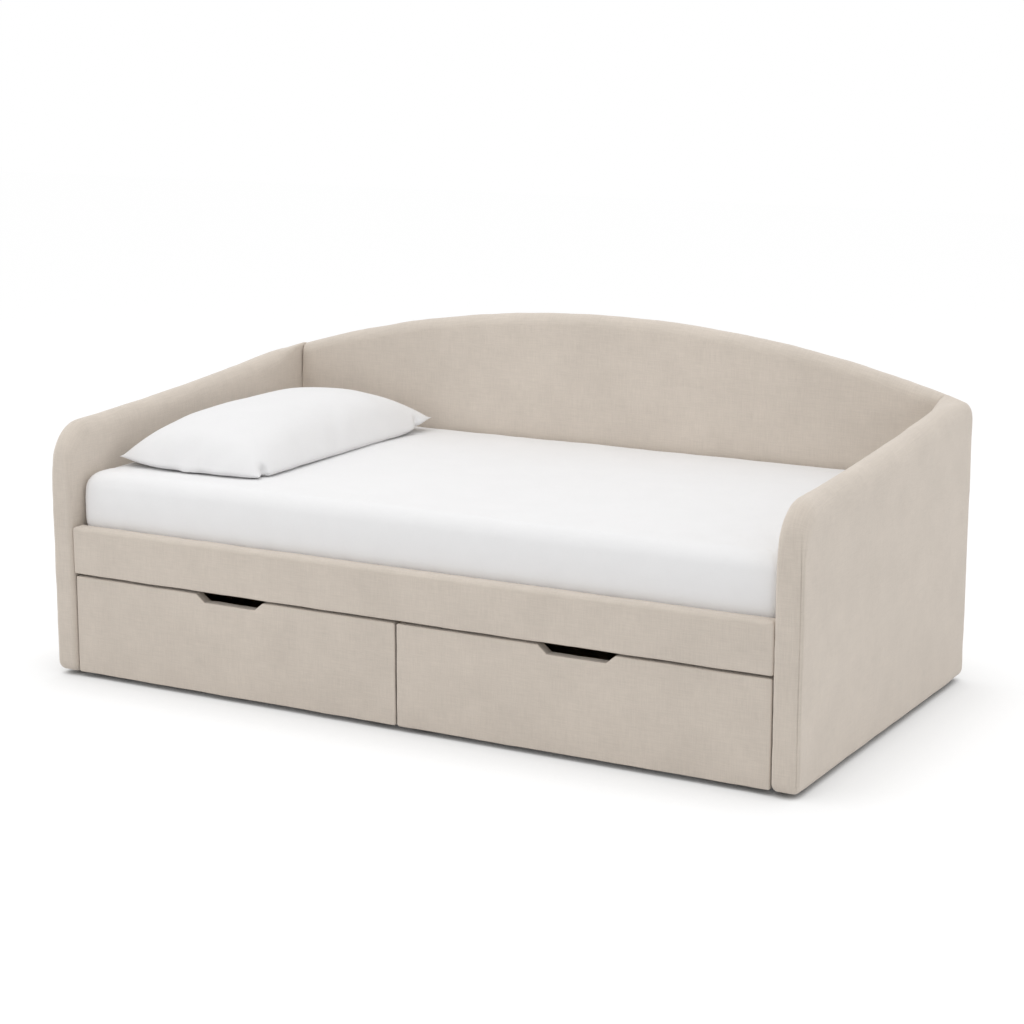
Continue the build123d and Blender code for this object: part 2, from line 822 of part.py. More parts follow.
def box_back():
    return block(box_x_in + box_board, box_x_out - box_board, box_rear - box_board, box_rear,
                 box_side_base, box_top)


def box_bottom_panel():
    return block(box_x_in, box_x_out, drawer_board_rear, box_rear, box_floor, box_side_base)


def box_batten():
    middle = (drawer_board_rear + box_rear) / 2
    half = batten_width / 2
    return block(box_x_in, box_x_out, middle - half, middle + half, box_floor - batten_height, box_floor)


def caster_places():
    xs = (box_x_in + caster_side_inset, box_x_out - caster_side_inset)
    ys = (drawer_board_rear + caster_end_inset, box_rear - caster_end_inset)
    return [(x, y) for y in ys for x in xs]


def wheel_profile():
    half = wheel_width / 2
    web = web_width / 2
    bore = axle_radius + axle_clearance
    rim = wheel_radius - rim_depth
    lip = (wheel_width - web_width) / 4
    points = [
        (-half, bore), (half, bore), (half, hub_radius), (web, hub_radius + lip), (web, rim - lip),
        (half, rim), (half, wheel_radius - tread_corner), (half - tread_corner, wheel_radius),
        (tread_corner - half, wheel_radius), (-half, wheel_radius - tread_corner), (-half, rim),
        (-web, rim - lip), (-web, hub_radius + lip), (-half, hub_radius),
    ]
    return make_face(Polyline(*points, close=True))


def wheel(x, y):
    return Pos(x, y, wheel_radius) * revolve(wheel_profile(), Axis.X)


def caster_fork(x, y):
    inner = wheel_width / 2 + wheel_side_gap
    outer = inner + fork_plate
    plate_low = caster_height - fork_plate
    half_length = fork_length / 2
    plate = block(-outer, outer, -half_length, half_length, plate_low, caster_height)
    shoulder = fork_length / 4
    eye = Pos(0, wheel_radius) * CenterArc((0, 0), fork_cheek_radius, 0, 360)
    top = Line((-shoulder, plate_low), (shoulder, plate_low))
    cheek_face = make_hull(eye.edges() + top.edges())
    cheek_face -= Pos(0, wheel_radius) * Circle(axle_radius + bore_clearance)
    cheeks = slab_x(cheek_face, inner, outer) + slab_x(cheek_face, -outer, -inner)
    fork = plate + cheeks
    hole_place = half_length - caster_screw_head
    for hole_y_place in (-hole_place, hole_place):
        fork -= rod_z(caster_screw_radius + bore_clearance, 0, hole_y_place,
                      plate_low - overrun, caster_height + overrun)
    return Pos(x, y, 0) * fork


def caster_axle(x, y):
    reach = wheel_width / 2 + wheel_side_gap + fork_plate
    tip = reach + axle_head_height
    pin = rod_x(axle_radius, -reach, reach, 0, 0)
    pin += rod_x(axle_head_radius, reach, tip, 0, 0)
    pin += rod_x(axle_head_radius, -tip, -reach, 0, 0)
    return Pos(x, y, wheel_radius) * pin


def caster_screws():
    hole_place = fork_length / 2 - caster_screw_head
    head_low = caster_height - fork_plate - caster_screw_radius
    pieces = []
    for x, y in caster_places():
        for offset in (-hole_place, hole_place):
            shank = rod_z(caster_screw_radius, x, y + offset, head_low, caster_height - fork_plate
                          + caster_screw_length)
            head = rod_z(caster_screw_head, x, y + offset, head_low, caster_height - fork_plate)
            pieces.append(shank + head)
    return pieces


def caster_screw_holes():
    hole_place = fork_length / 2 - caster_screw_head
    top = caster_height - fork_plate + caster_screw_length
    return [
        rod_z(caster_screw_radius + bore_clearance, x, y + offset, caster_height - overrun, top)
        for x, y in caster_places()
        for offset in (-hole_place, hole_place)
    ]


def save_drawer(side):
    turn = mirrored if side == "left" else (lambda shape: shape)
    name = f"drawer_{side}"
    save(turn(drawer_front_board_piece()), f"{name}_front_board")
    save(turn(drawer_front_cover()), f"{name}_front_cover")
    save(turn(box_side(box_x_in)), f"{name}_side_inner")
    save(turn(box_side(box_x_out - box_board)), f"{name}_side_outer")
    save(turn(box_back()), f"{name}_back")
    save(turn(box_bottom_panel() - caster_screw_holes()), f"{name}_bottom")
    save(turn(box_batten()), f"{name}_batten")
    save(group(turn(caster_fork(x, y)) for x, y in caster_places()), f"{name}_caster_forks")
    save(group(turn(caster_axle(x, y)) for x, y in caster_places()), f"{name}_caster_axles")
    save(group(turn(screw) for screw in caster_screws()), f"{name}_caster_screws")
    for number, (x, y) in enumerate(caster_places(), start=1):
        save(turn(wheel(x, y)), f"{name}_wheel_{number}")


# Writing the sub-parts
os.makedirs("parts", exist_ok=True)

for side in ("left", "right"):
    place = mirrored if side == "left" else (lambda shape: shape)
    save(place(arm_cover()), f"arm_{side}_cover")
    save(place(arm_liners()), f"arm_{side}_liners")
    save(place(arm_frame()), f"arm_{side}_frame")
    save_drawer(side)

save(back_cover(), "back_cover")
save(back_liners(), "back_liners")
save(back_frame(), "back_frame")
save(rail_cover(), "rail_cover")
save(rail_board(), "rail_board")
save(front_ledger(), "front_ledger")
save(rear_ledger(), "rear_ledger")
save(ledger_screws(), "ledger_screws")
save(slats(), "slats")
save(slat_straps(), "slat_straps")
save(centre_beam(), "centre_beam")
save(centre_divider(), "centre_divider")
save(beam_hangers(), "beam_hangers")
save(corner_brackets(), "corner_brackets")
save(frame_bolts(), "frame_bolts")
save(drawer_guides(), "drawer_guides")
save(guide_screws(), "guide_screws")
save(floor_glides(), "floor_glides")
save(mattress(), "mattress")
save(fitted_sheet(), "fitted_sheet")
save(pillow(), "pillow")
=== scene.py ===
"""Looks of the storage daybed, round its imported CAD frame: upholstery, bedding, materials, light and camera.

Metres in the row frame: +X along the length, -Y is the open front, +Z up from the floor.
"""
import json
import math

import bmesh
import bpy
import numpy as np
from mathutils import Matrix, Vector
from mathutils.geometry import delaunay_2d_cdt


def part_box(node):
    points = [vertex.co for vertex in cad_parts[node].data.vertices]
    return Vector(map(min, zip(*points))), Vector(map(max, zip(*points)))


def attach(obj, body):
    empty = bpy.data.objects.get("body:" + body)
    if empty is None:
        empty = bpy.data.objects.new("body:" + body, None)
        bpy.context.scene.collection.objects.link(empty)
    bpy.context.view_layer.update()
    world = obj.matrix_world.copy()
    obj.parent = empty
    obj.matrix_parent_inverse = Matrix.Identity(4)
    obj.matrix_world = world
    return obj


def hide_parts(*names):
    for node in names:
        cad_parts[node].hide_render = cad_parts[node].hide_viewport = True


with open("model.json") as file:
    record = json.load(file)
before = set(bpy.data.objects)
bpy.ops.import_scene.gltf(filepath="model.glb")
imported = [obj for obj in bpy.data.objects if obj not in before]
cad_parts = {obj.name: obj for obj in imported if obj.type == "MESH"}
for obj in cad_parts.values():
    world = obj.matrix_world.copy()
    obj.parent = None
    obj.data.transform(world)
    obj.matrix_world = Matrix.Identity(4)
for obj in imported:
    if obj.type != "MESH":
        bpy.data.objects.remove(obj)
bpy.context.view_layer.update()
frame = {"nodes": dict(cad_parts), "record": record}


# Numbers
def ripple(points, length, seed, count=14):
    """Smooth noise of about -1 to 1 at each point, from sine waves of about that length."""
    rng = np.random.default_rng(seed)
    total = np.zeros(len(points))
    for _ in range(count):
        way = rng.normal(size=points.shape[1])
        way *= 2 * math.pi / (length * rng.uniform(0.65, 1.5) * np.linalg.norm(way))
        total += np.sin(points @ way + rng.uniform(0, 2 * math.pi))
    return total / math.sqrt(2 * count)


def smooth_step(values, low, high):
    t = np.clip((np.asarray(values, float) - low) / (high - low), 0, 1)
    return t * t * (3 - 2 * t)


# Outlines
STRAIGHT = math.radians(89.99)
SAME_PLACE = 1e-6


def rounded_outline(corners, radii, step):
    """A closed anticlockwise outline through the corners, each rounded by its radius, points about step apart."""
    bends = []
    for i, radius in enumerate(radii):
        before, at, after = (np.array(corners[(i + k) % len(corners)], float) for k in (-1, 0, 1))
        into = (before - at) / np.linalg.norm(before - at)
        out = (after - at) / np.linalg.norm(after - at)
        half = math.acos(float(np.clip(into @ out, -1, 1))) / 2
        if radius == 0 or half > STRAIGHT:
            bends.append([at])
            continue
        middle = at + (into + out) / np.linalg.norm(into + out) * radius / math.sin(half)
        start = at + into * radius / math.tan(half) - middle
        turn = math.pi - 2 * half
        way = math.copysign(1, into[1] * out[0] - into[0] * out[1])
        count = max(4, math.ceil(turn * radius / min(step, radius / 4)))
        bend = []
        for k in range(count + 1):
            a = way * turn * k / count
            bend.append(middle + np.array([start[0] * math.cos(a) - start[1] * math.sin(a),
                                           start[0] * math.sin(a) + start[1] * math.cos(a)]))
        bends.append(bend)
    outline = []
    for i, bend in enumerate(bends):
        outline += bend
        gap = bends[(i + 1) % len(bends)][0] - bend[-1]
        pieces = max(1, math.ceil(np.linalg.norm(gap) / step))
        outline += [bend[-1] + gap * k / pieces for k in range(1, pieces)]
    outline = np.array(outline)
    keep = np.linalg.norm(outline - np.roll(outline, 1, axis=0), axis=1) > SAME_PLACE
    return outline[keep]


def outward(outline):
    """The unit normals of an anticlockwise outline, pointing out."""
    leave = np.roll(outline, -1, axis=0) - outline
    arrive = outline - np.roll(outline, 1, axis=0)
    tangent = leave / np.linalg.norm(leave, axis=1)[:, None]
    tangent += arrive / np.linalg.norm(arrive, axis=1)[:, None]
    tangent /= np.linalg.norm(tangent, axis=1)[:, None]
    return np.stack([tangent[:, 1], -tangent[:, 0]], axis=1)


def inside(points, loop):
    """Which points lie inside a closed loop."""
    result = np.zeros(len(points), bool)
    for a, b in zip(loop, np.roll(loop, -1, axis=0)):
        crosses = (a[1] > points[:, 1]) != (b[1] > points[:, 1])
        if a[1] != b[1]:
            x = a[0] + (points[:, 1] - a[1]) * (b[0] - a[0]) / (b[1] - a[1])
            result ^= crosses & (points[:, 0] < x)
    return result


def edge_distance(points, loop):
    """The distance from each point to the nearest point of the loop."""
    best = np.full(len(points), np.inf)
    for start in range(0, len(loop), 64):
        part = loop[start:start + 64]
        best = np.minimum(best, np.linalg.norm(points[:, None] - part[None], axis=2).min(axis=1))
    return best


FILL_MARGIN_SHARE = 0.55
JOIN_ANGLE = 0.6


def fill(loop, spacing):
    """Points and faces that fill a closed loop with an even grid. The loop's own points come first."""
    low, high = loop.min(axis=0), loop.max(axis=0)
    counts = np.maximum(1, np.round((high - low) / spacing)).astype(int)
    axes = [np.linspace(low[k], high[k], counts[k] + 1)[1:-1] for k in (0, 1)]
    grid = np.array(np.meshgrid(*axes)).reshape(2, -1).T
    grid = grid[inside(grid, loop)]
    grid = grid[edge_distance(grid, loop) > FILL_MARGIN_SHARE * spacing]
    points = np.vstack([loop, grid])
    edges = [(i, (i + 1) % len(loop)) for i in range(len(loop))]
    found = delaunay_2d_cdt([Vector(p) for p in points], edges, [], 0, 1e-9, True)
    source = [ids[0] for ids in found[3]]
    triangles = [[source[v] for v in face] for face in found[2]]
    mesh = bmesh.new()
    made = [mesh.verts.new((*p, 0)) for p in points]
    mesh.verts.index_update()
    for triangle in within(triangles, len(loop)):
        mesh.faces.new([made[i] for i in triangle])
    mesh.normal_update()
    bmesh.ops.join_triangles(mesh, faces=mesh.faces[:], angle_face_threshold=JOIN_ANGLE,
                             angle_shape_threshold=JOIN_ANGLE)
    faces = [[v.index for v in face.verts] for face in mesh.faces]
    mesh.free()
    return points, faces


def within(triangles, count):
    """The triangles on the inner side of the loop, which is made by the first count points."""
    sides = {}
    for k, triangle in enumerate(triangles):
        for a, b in zip(triangle, triangle[1:] + triangle[:1]):
            sides.setdefault(frozenset((a, b)), []).append(k)
    walls = {frozenset((i, (i + 1) % count)) for i in range(count)}
    start = next(k for k, triangle in enumerate(triangles) if max(triangle) >= count)
    reached, waiting = {start}, [start]
    while waiting:
        triangle = triangles[waiting.pop()]
        for a, b in zip(triangle, triangle[1:] + triangle[:1]):
            side = frozenset((a, b))
            for k in () if side in walls else sides[side]:
                if k not in reached:
                    reached.add(k)
                    waiting.append(k)
    return [triangles[k] for k in sorted(reached)]


# Meshes
def mesh_object(name, points, faces, corners=None, values=None):
    """A smooth-shaded object. corners gives a UV in metres per face corner, values a seam's strength per point,
    together with painted shade on folded sides.
    """
    data = bpy.data.meshes.new(name)
    data.from_pydata([tuple(p) for p in points], [], faces)
    if corners is not None:
        layer = data.uv_layers.new(name="cloth")
        layer.data.foreach_set("uv", np.array(corners, np.float32).ravel())
    marks = data.attributes.new("seam", "FLOAT", "POINT")
    values = np.zeros(len(points)) if values is None else values
    marks.data.foreach_set("value", values.astype(np.float32))
    mesh = bmesh.new()
    mesh.from_mesh(data)
    bmesh.ops.recalc_face_normals(mesh, faces=mesh.faces[:])
    mesh.to_mesh(data)
    mesh.free()
    data.polygons.foreach_set("use_smooth", [True] * len(data.polygons))
    obj = bpy.data.objects.new(name, data)
    bpy.context.scene.collection.objects.link(obj)
    return obj


def points_of(obj):
    co = np.empty(3 * len(obj.data.vertices))
    obj.data.vertices.foreach_get("co", co)
    return co.reshape(-1, 3)


def normals_of(obj):
    obj.data.update()
    no = np.empty(3 * len(obj.data.vertices), np.float32)
    obj.data.vertex_normals.foreach_get("vector", no)
    return no.reshape(-1, 3).astype(float)


def move_points(obj, points):
    obj.data.vertices.foreach_set("co", np.ascontiguousarray(points).ravel())
    obj.data.update()


def ring_faces(count, levels, along, across):
    """The faces between rings of count points each, and the UVs of their corners from the lengths both ways."""
    faces, corners = [], []
    for k in range(levels - 1):
        for i in range(count):
            j = (i + 1) % count
            faces.append([k * count + i, k * count + j, (k + 1) * count + j, (k + 1) * count + i])
            corners += [(along[i], across[k]), (along[i + 1], across[k]),
                        (along[i + 1], across[k + 1]), (along[i], across[k + 1])]
    return faces, corners


def run_length(outline):
    """The length along a closed outline up to each of its points, and all round it."""
    steps = np.linalg.norm(np.roll(outline, -1, axis=0) - outline, axis=1)
    return np.concatenate([[0], np.cumsum(steps)])


def cap(loop, spacing, ring, total, faces, corners):
    """Closes a ring with a grid, adds its faces and UVs, and gives its new points, which are numbered from total."""
    count = len(loop)
    filled, inner_faces = fill(loop, spacing)
    extra = filled[count:]
    ids = list(range(ring * count, ring * count + count)) + list(range(total, total + len(extra)))
    for face in inner_faces:
        faces.append([ids[v] for v in face])
        corners += [tuple(filled[v]) for v in face]
    return extra


HIGH_TURNS = (0, 12, 19, 21.5, 23, 24.5, 27, 34, 41, 43.5, 45, 46.5, 49, 57, 68, 79, 90)
LOW_TURNS = (90, 75, 60, 45, 30, 15, 0)
SEAM_MARKS = {21.5: 0.25, 23: 0.5, 24.5: 0.25, 43.5: 0.5, 45: 1.0, 46.5: 0.5}
BAND_PARTS = 4
PUFF_REACH = 0.07
SEAM_SINK = 0.0015


def cloth_panel(name, outline, low, high, low_edge, high_edge, place, spacing, seam=None, puffs=(0.0, 0.0),
                ways=None, depths=None, painted_wall_shade=0.0):
    """A closed padded panel: an outline carried from depth low to depth high, its edges rounded by an inset.

    place turns (across, up, depth) into points of the row frame. seam gives the strength per outline point of the
    seam that runs halfway round the high edge. puffs is how far the low and the high face swell. ways gives the
    inset of each outline point as a vector, where it isn't square to the outline, and depths how deep the low and
    the high edge are rounded, where that isn't as wide as the inset. The last argument is painted shade on the folded
    sides, which stands in for the shade in the gaps between parts."""
    count = len(outline)
    normal = outward(outline)
    low_edge = np.broadcast_to(np.asarray(low_edge, float), count)
    high_edge = np.broadcast_to(np.asarray(high_edge, float), count)
    low_depth, high_depth = (low_edge, high_edge) if depths is None else depths
    rings, marks = [], []
    for turn in HIGH_TURNS:
        s, c = math.sin(math.radians(turn)), math.cos(math.radians(turn))
        rings.append((high_edge * (1 - s), high - np.sign(high - low) * high_depth * (1 - c)))
        marks.append(SEAM_MARKS.get(turn, 0.0))
    first_wall = len(rings) - 2
    band_top, band_foot = rings[-1][1], low + np.sign(high - low) * low_depth
    for k in range(1, BAND_PARTS):
        t = k / BAND_PARTS
        rings.append((np.zeros(count), band_top * (1 - t) + band_foot * t))
        marks.append(0.0)
    last_wall = len(rings)
    for turn in LOW_TURNS:
        s, c = math.sin(math.radians(turn)), math.cos(math.radians(turn))
        rings.append((low_edge * (1 - s), low + np.sign(high - low) * low_depth * (1 - c)))
        marks.append(0.0)
    strength = np.zeros(count) if seam is None else seam
    points, values, flat = [], [], []
    for (inset, depth), mark in zip(rings, marks):
        ring = outline - (normal * inset[:, None] if ways is None else ways * (inset / high_edge)[:, None])
        points.append(np.column_stack([ring, np.broadcast_to(depth, count)]))
        flat.append(ring)
        # The folded sides also get painted shade, which stands in for the shade in the gaps between parts; it goes
        # into the seam attribute.
        values.append(strength * mark + (painted_wall_shade if first_wall <= len(values) <= last_wall else 0))
    across = [0.0]
    for k in range(1, len(rings)):
        across.append(across[-1] + np.linalg.norm(points[k] - points[k - 1], axis=1).mean())
    faces, corners = ring_faces(count, len(rings), run_length(outline), across)
    for ring, depth, puff in ((0, high, puffs[1]), (len(rings) - 1, low, puffs[0])):
        extra = cap(flat[ring], spacing, ring, sum(map(len, points)), faces, corners)
        rise = puff * smooth_step(edge_distance(extra, flat[ring]), 0, PUFF_REACH) if puff else np.zeros(len(extra))
        points.append(np.column_stack([extra, depth + rise * np.sign(depth - (low + high) / 2)]))
        values.append(np.zeros(len(extra)))
    values = np.concatenate(values)
    obj = mesh_object(name, place(np.vstack(points)), faces, corners, values)
    if seam is not None:
        move_points(obj, points_of(obj) - normals_of(obj) * (SEAM_SINK * values)[:, None])
    return obj


def upright(points):
    """Turns (across, up, depth) into points of the row frame, for a panel that lies along X."""
    return np.column_stack([points[:, 0], points[:, 2], points[:, 1]])


def soften(obj, seed, height=0.0008, length=0.16, fine=0.0003, fine_length=0.045):
    """Gives a padded panel the slight unevenness of foam and stretched cloth."""
    points = points_of(obj)
    lift = height * ripple(points, length, seed) + fine * ripple(points, fine_length, seed + 1)
    move_points(obj, points + normals_of(obj) * lift[:, None])


# Materials
LINEN = (0.620, 0.553, 0.483)
COTTON = (0.838, 0.835, 0.839)
TICKING = (0.78, 0.77, 0.75)
WEBBING = (0.60, 0.57, 0.50)
PINE = (0.62, 0.44, 0.26)
WARM_PINE = (0.70, 0.47, 0.24, 1)
BIRCH = (0.60, 0.47, 0.32)
HARDBOARD = (0.28, 0.17, 0.09)
ZINC = (0.60, 0.61, 0.62)
GLIDE_BLACK = (0.03, 0.03, 0.03)
WHEEL_BLACK = (0.055, 0.055, 0.058)
LINEN_PITCH = 0.0011
SHEET_PITCH = 0.00045
PILLOW_PITCH = 0.0005
# The pillow's cotton is a darker copy of the sheet's: painted shade, which stands in for the shade that falls on the
# pillow.
PILLOW_PAINTED_SHADE = 0.968


def new_node(tree, kind, inputs=(), **values):
    made = tree.nodes.new(kind)
    for key, value in values.items():
        setattr(made, key, value)
    for key, value in dict(inputs).items():
        if isinstance(value, bpy.types.NodeSocket):
            tree.links.new(value, made.inputs[key])
        else:
            made.inputs[key].default_value = value
    return made


class Nodes:
    """A node tree under construction, with short calls for the nodes that these materials share."""

    def __init__(self, name, color):
        self.material = bpy.data.materials.new(name)
        self.material.use_nodes = True
        self.material.diffuse_color = (*color, 1)
        self.tree = self.material.node_tree
        self.shader = self.tree.nodes["Principled BSDF"]
        place = new_node(self.tree, "ShaderNodeTexCoord")
        self.cloth, self.solid = place.outputs["UV"], place.outputs["Object"]

    def node(self, kind, inputs=(), **values):
        return new_node(self.tree, kind, inputs, **values)

    # The seam attribute: the strength of the seams, which are dark joints, and the painted shade on the drawer fronts'
    # folded sides.
    def seam(self):
        return self.node("ShaderNodeAttribute", attribute_name="seam").outputs["Fac"]

    def math(self, operation, a, b=0.0, clamp=False):
        return self.node("ShaderNodeMath", {0: a, 1: b}, operation=operation, use_clamp=clamp).outputs[0]

    def plus(self, a, b, clamp=False):
        return self.math("ADD", a, b, clamp)

    def times(self, a, b):
        return self.math("MULTIPLY", a, b)

    def scaled(self, vector, scale):
        return self.node("ShaderNodeMapping", {"Vector": vector, "Scale": scale}, vector_type="POINT").outputs[0]

    def noise(self, vector, scale, detail=2.0, rough=0.5):
        inputs = {"Vector": vector, "Scale": scale, "Detail": detail, "Roughness": rough}
        return self.node("ShaderNodeTexNoise", inputs).outputs["Fac"]

    def stretch(self, value, low=0.3, high=0.7, out_low=0.0, out_high=1.0):
        inputs = {"Value": value, "From Min": low, "From Max": high, "To Min": out_low, "To Max": out_high}
        return self.node("ShaderNodeMapRange", inputs, interpolation_type="SMOOTHSTEP").outputs["Result"]

    def mix(self, factor, a, b):
        return self.node("ShaderNodeMix", {0: factor, 6: a, 7: b}, data_type="RGBA").outputs[2]

    def bump(self, height, distance, strength, *normal):
        inputs = {"Height": height, "Distance": distance, "Strength": strength}
        return self.node("ShaderNodeBump", {**inputs, **{"Normal": n for n in normal}}).outputs[0]

    def finish(self, color, roughness, normal, **constants):
        for key, socket in (("Base Color", color), ("Roughness", roughness), ("Normal", normal)):
            self.tree.links.new(socket, self.shader.inputs[key])
        for key, value in constants.items():
            self.shader.inputs[key.replace("_", " ")].default_value = value
        return self.material


def shade(color, factor):
    return (*(min(1.0, c * factor) for c in color), 1.0)


def weave(nodes, vector, pitch):
    """The height of a plain weave: threads of that pitch that pass over and under each other."""
    parts = nodes.node("ShaderNodeSeparateXYZ", {0: vector})
    waves = [nodes.math("SINE", nodes.times(parts.outputs[k], math.pi / pitch)) for k in (0, 1)]
    ridges = [nodes.math("ABSOLUTE", wave) for wave in waves]
    turn = nodes.times(waves[0], waves[1])
    over = nodes.stretch(turn, -0.35, 0.35)
    under = nodes.math("SUBTRACT", 1.0, over)
    return nodes.plus(nodes.times(ridges[0], over), nodes.times(ridges[1], under))


def linen_material():
    n = Nodes("linen_weave", LINEN)
    warp = n.noise(n.scaled(n.cloth, (430, 26, 1)), 1.0, 3.0, 0.6)
    weft = n.noise(n.scaled(n.cloth, (22, 390, 1)), 1.0, 3.0, 0.6)
    long_warp = n.noise(n.scaled(n.cloth, (120, 7, 1)), 1.0, 2.0, 0.5)
    long_weft = n.noise(n.scaled(n.cloth, (6, 110, 1)), 1.0, 2.0, 0.5)
    mottle = n.noise(n.solid, 9.0, 3.0, 0.55)
    patch = n.noise(n.solid, 2.6, 1.0, 0.5)
    threads = weave(n, n.cloth, LINEN_PITCH)
    streaks = n.plus(n.stretch(warp), n.stretch(weft))
    broad = n.plus(n.stretch(long_warp), n.stretch(long_weft))
    tone = n.plus(n.times(streaks, 0.24), n.times(broad, 0.06))
    tone = n.plus(tone, n.times(n.stretch(mottle), 0.20))
    tone = n.plus(tone, n.times(n.stretch(patch, 0.35, 0.65), 0.12))
    tone = n.plus(tone, n.times(threads, 0.10), clamp=True)
    color = n.mix(tone, shade(LINEN, 0.865), shade(LINEN, 1.125))
    # Darker along the seams, which are dark joints, and on the drawer fronts' folded sides, where it is painted shade
    # for the gaps.
    color = n.mix(n.times(n.seam(), 0.42), color, shade(LINEN, 0.55))
    height = n.plus(n.times(threads, 0.6), n.times(streaks, 0.5))
    normal = n.bump(height, 0.00035, 0.55)
    rough = n.stretch(threads, 0.0, 1.0, 0.96, 0.84)
    return n.finish(color, rough, normal, Sheen_Weight=0.7, Sheen_Roughness=0.5,
                    Sheen_Tint=(1.0, 0.93, 0.86, 1.0), Specular_IOR_Level=0.22)


def cotton_material(name, color, pitch):
    n = Nodes(name, color)
    threads = weave(n, n.cloth, pitch)
    mottle = n.noise(n.solid, 14.0, 3.0, 0.55)
    slub = n.plus(n.noise(n.scaled(n.cloth, (700, 40, 1)), 1.0, 2.0),
                  n.noise(n.scaled(n.cloth, (40, 700, 1)), 1.0, 2.0))
    tone = n.plus(n.times(n.stretch(mottle), 0.5), n.times(n.stretch(slub, 0.7, 1.3), 0.5), clamp=True)
    paint = n.mix(tone, shade(color, 0.985), shade(color, 1.01))
    paint = n.mix(n.times(n.seam(), 0.5), paint, shade(color, 0.82))
    soft = n.noise(n.solid, 22.0, 2.0, 0.5)
    normal = n.bump(threads, 0.00012, 0.35, n.bump(soft, 0.0012, 0.25))
    rough = n.stretch(mottle, 0.3, 0.7, 0.78, 0.88)
    return n.finish(paint, rough, normal, Sheen_Weight=0.08, Sheen_Roughness=0.5, Specular_IOR_Level=0.25)


def ticking_material():
    n = Nodes("mattress_knit", TICKING)
    rows = n.noise(n.scaled(n.solid, (900, 260, 260)), 1.0, 1.0)
    quilt = n.noise(n.solid, 18.0, 1.0)
    paint = n.mix(n.stretch(rows, 0.35, 0.65), shade(TICKING, 0.9), shade(TICKING, 1.06))
    normal = n.bump(rows, 0.0006, 0.6, n.bump(quilt, 0.006, 0.4))
    return n.finish(paint, n.stretch(quilt, 0.3, 0.7, 0.82, 0.92), normal, Sheen_Weight=0.1)


def webbing_material():
    n = Nodes("webbing_weave", WEBBING)
    ribs = n.noise(n.scaled(n.solid, (60, 900, 60)), 1.0, 1.0)
    picks = n.noise(n.scaled(n.solid, (1100, 60, 60)), 1.0, 1.0)
    height = n.plus(ribs, picks)
    paint = n.mix(n.stretch(height, 0.8, 1.2), shade(WEBBING, 0.82), shade(WEBBING, 1.1))
    return n.finish(paint, n.stretch(ribs, 0.3, 0.7, 0.7, 0.9), n.bump(height, 0.0005, 0.7))


def timber_material(name, axis):
    """Planed pine with its grain along that axis of the row frame."""
    n = Nodes(name, PINE)
    broad, fine = [26.0] * 3, [520.0] * 3
    broad[axis], fine[axis] = 1.6, 9.0
    bands = n.noise(n.scaled(n.solid, broad), 1.0, 4.0, 0.55)
    rings = n.math("SINE", n.times(bands, 42.0))
    fibre = n.noise(n.scaled(n.solid, fine), 1.0, 3.0, 0.6)
    grain = n.plus(n.times(n.stretch(rings, -1.0, 1.0), 0.6),
                   n.times(fibre, 0.5))
    paint = n.mix(n.stretch(grain, 0.1, 1.0), shade(PINE, 1.12), shade(PINE, 0.72))
    warm = n.noise(n.solid, 3.0, 1.0)
    paint = n.mix(n.times(n.stretch(warm, 0.35, 0.65), 0.25), paint, WARM_PINE)
    return n.finish(paint, n.stretch(fibre, 0.3, 0.7, 0.5, 0.66), n.bump(grain, 0.0004, 0.35),
                    Specular_IOR_Level=0.35)


def board_material(name, axis):
    """Birch-faced board, sanded and sealed, with its grain along that axis of the row frame."""
    n = Nodes(name, BIRCH)
    broad, narrow = [34.0] * 3, [700.0] * 3
    broad[axis], narrow[axis] = 1.8, 14.0
    figure = n.noise(n.scaled(n.solid, broad), 1.0, 4.0, 0.6)
    fibre = n.noise(n.scaled(n.solid, narrow), 1.0, 2.0)
    tone = n.plus(n.times(figure, 0.7), n.times(fibre, 0.3))
    paint = n.mix(n.stretch(tone, 0.35, 0.65), shade(BIRCH, 0.86), shade(BIRCH, 1.1))
    return n.finish(paint, n.stretch(figure, 0.3, 0.7, 0.42, 0.55), n.bump(fibre, 0.0002, 0.3),
                    Specular_IOR_Level=0.4)


def hardboard_material():
    n = Nodes("hardboard_fibre", HARDBOARD)
    flecks = n.noise(n.solid, 420.0, 4.0, 0.7)
    cloud = n.noise(n.solid, 22.0, 2.0)
    paint = n.mix(n.stretch(flecks, 0.35, 0.7), shade(HARDBOARD, 0.72), shade(HARDBOARD, 1.3))
    return n.finish(paint, n.stretch(cloud, 0.3, 0.7, 0.55, 0.75), n.bump(flecks, 0.0003, 0.5))


def steel_material():
    n = Nodes("zinc_plate", ZINC)
    spangle = n.noise(n.solid, 240.0, 3.0, 0.6)
    drawn = n.noise(n.scaled(n.solid, (90, 90, 1400)), 1.0, 2.0)
    paint = n.mix(n.stretch(spangle, 0.35, 0.65), shade(ZINC, 0.86), shade(ZINC, 1.08))
    return n.finish(paint, n.stretch(spangle, 0.3, 0.7, 0.26, 0.44), n.bump(drawn, 0.0001, 0.25),
                    Metallic=1.0)


def plastic_material(name, color):
    n = Nodes(name, color)
    grain = n.noise(n.solid, 1600.0, 2.0, 0.6)
    scuff = n.noise(n.solid, 60.0, 3.0, 0.6)
    paint = n.mix(n.stretch(scuff, 0.45, 0.7), shade(color, 0.9), shade(color, 1.6))
    return n.finish(paint, n.stretch(scuff, 0.3, 0.7, 0.38, 0.56), n.bump(grain, 0.0001, 0.35),
                    Specular_IOR_Level=0.45)


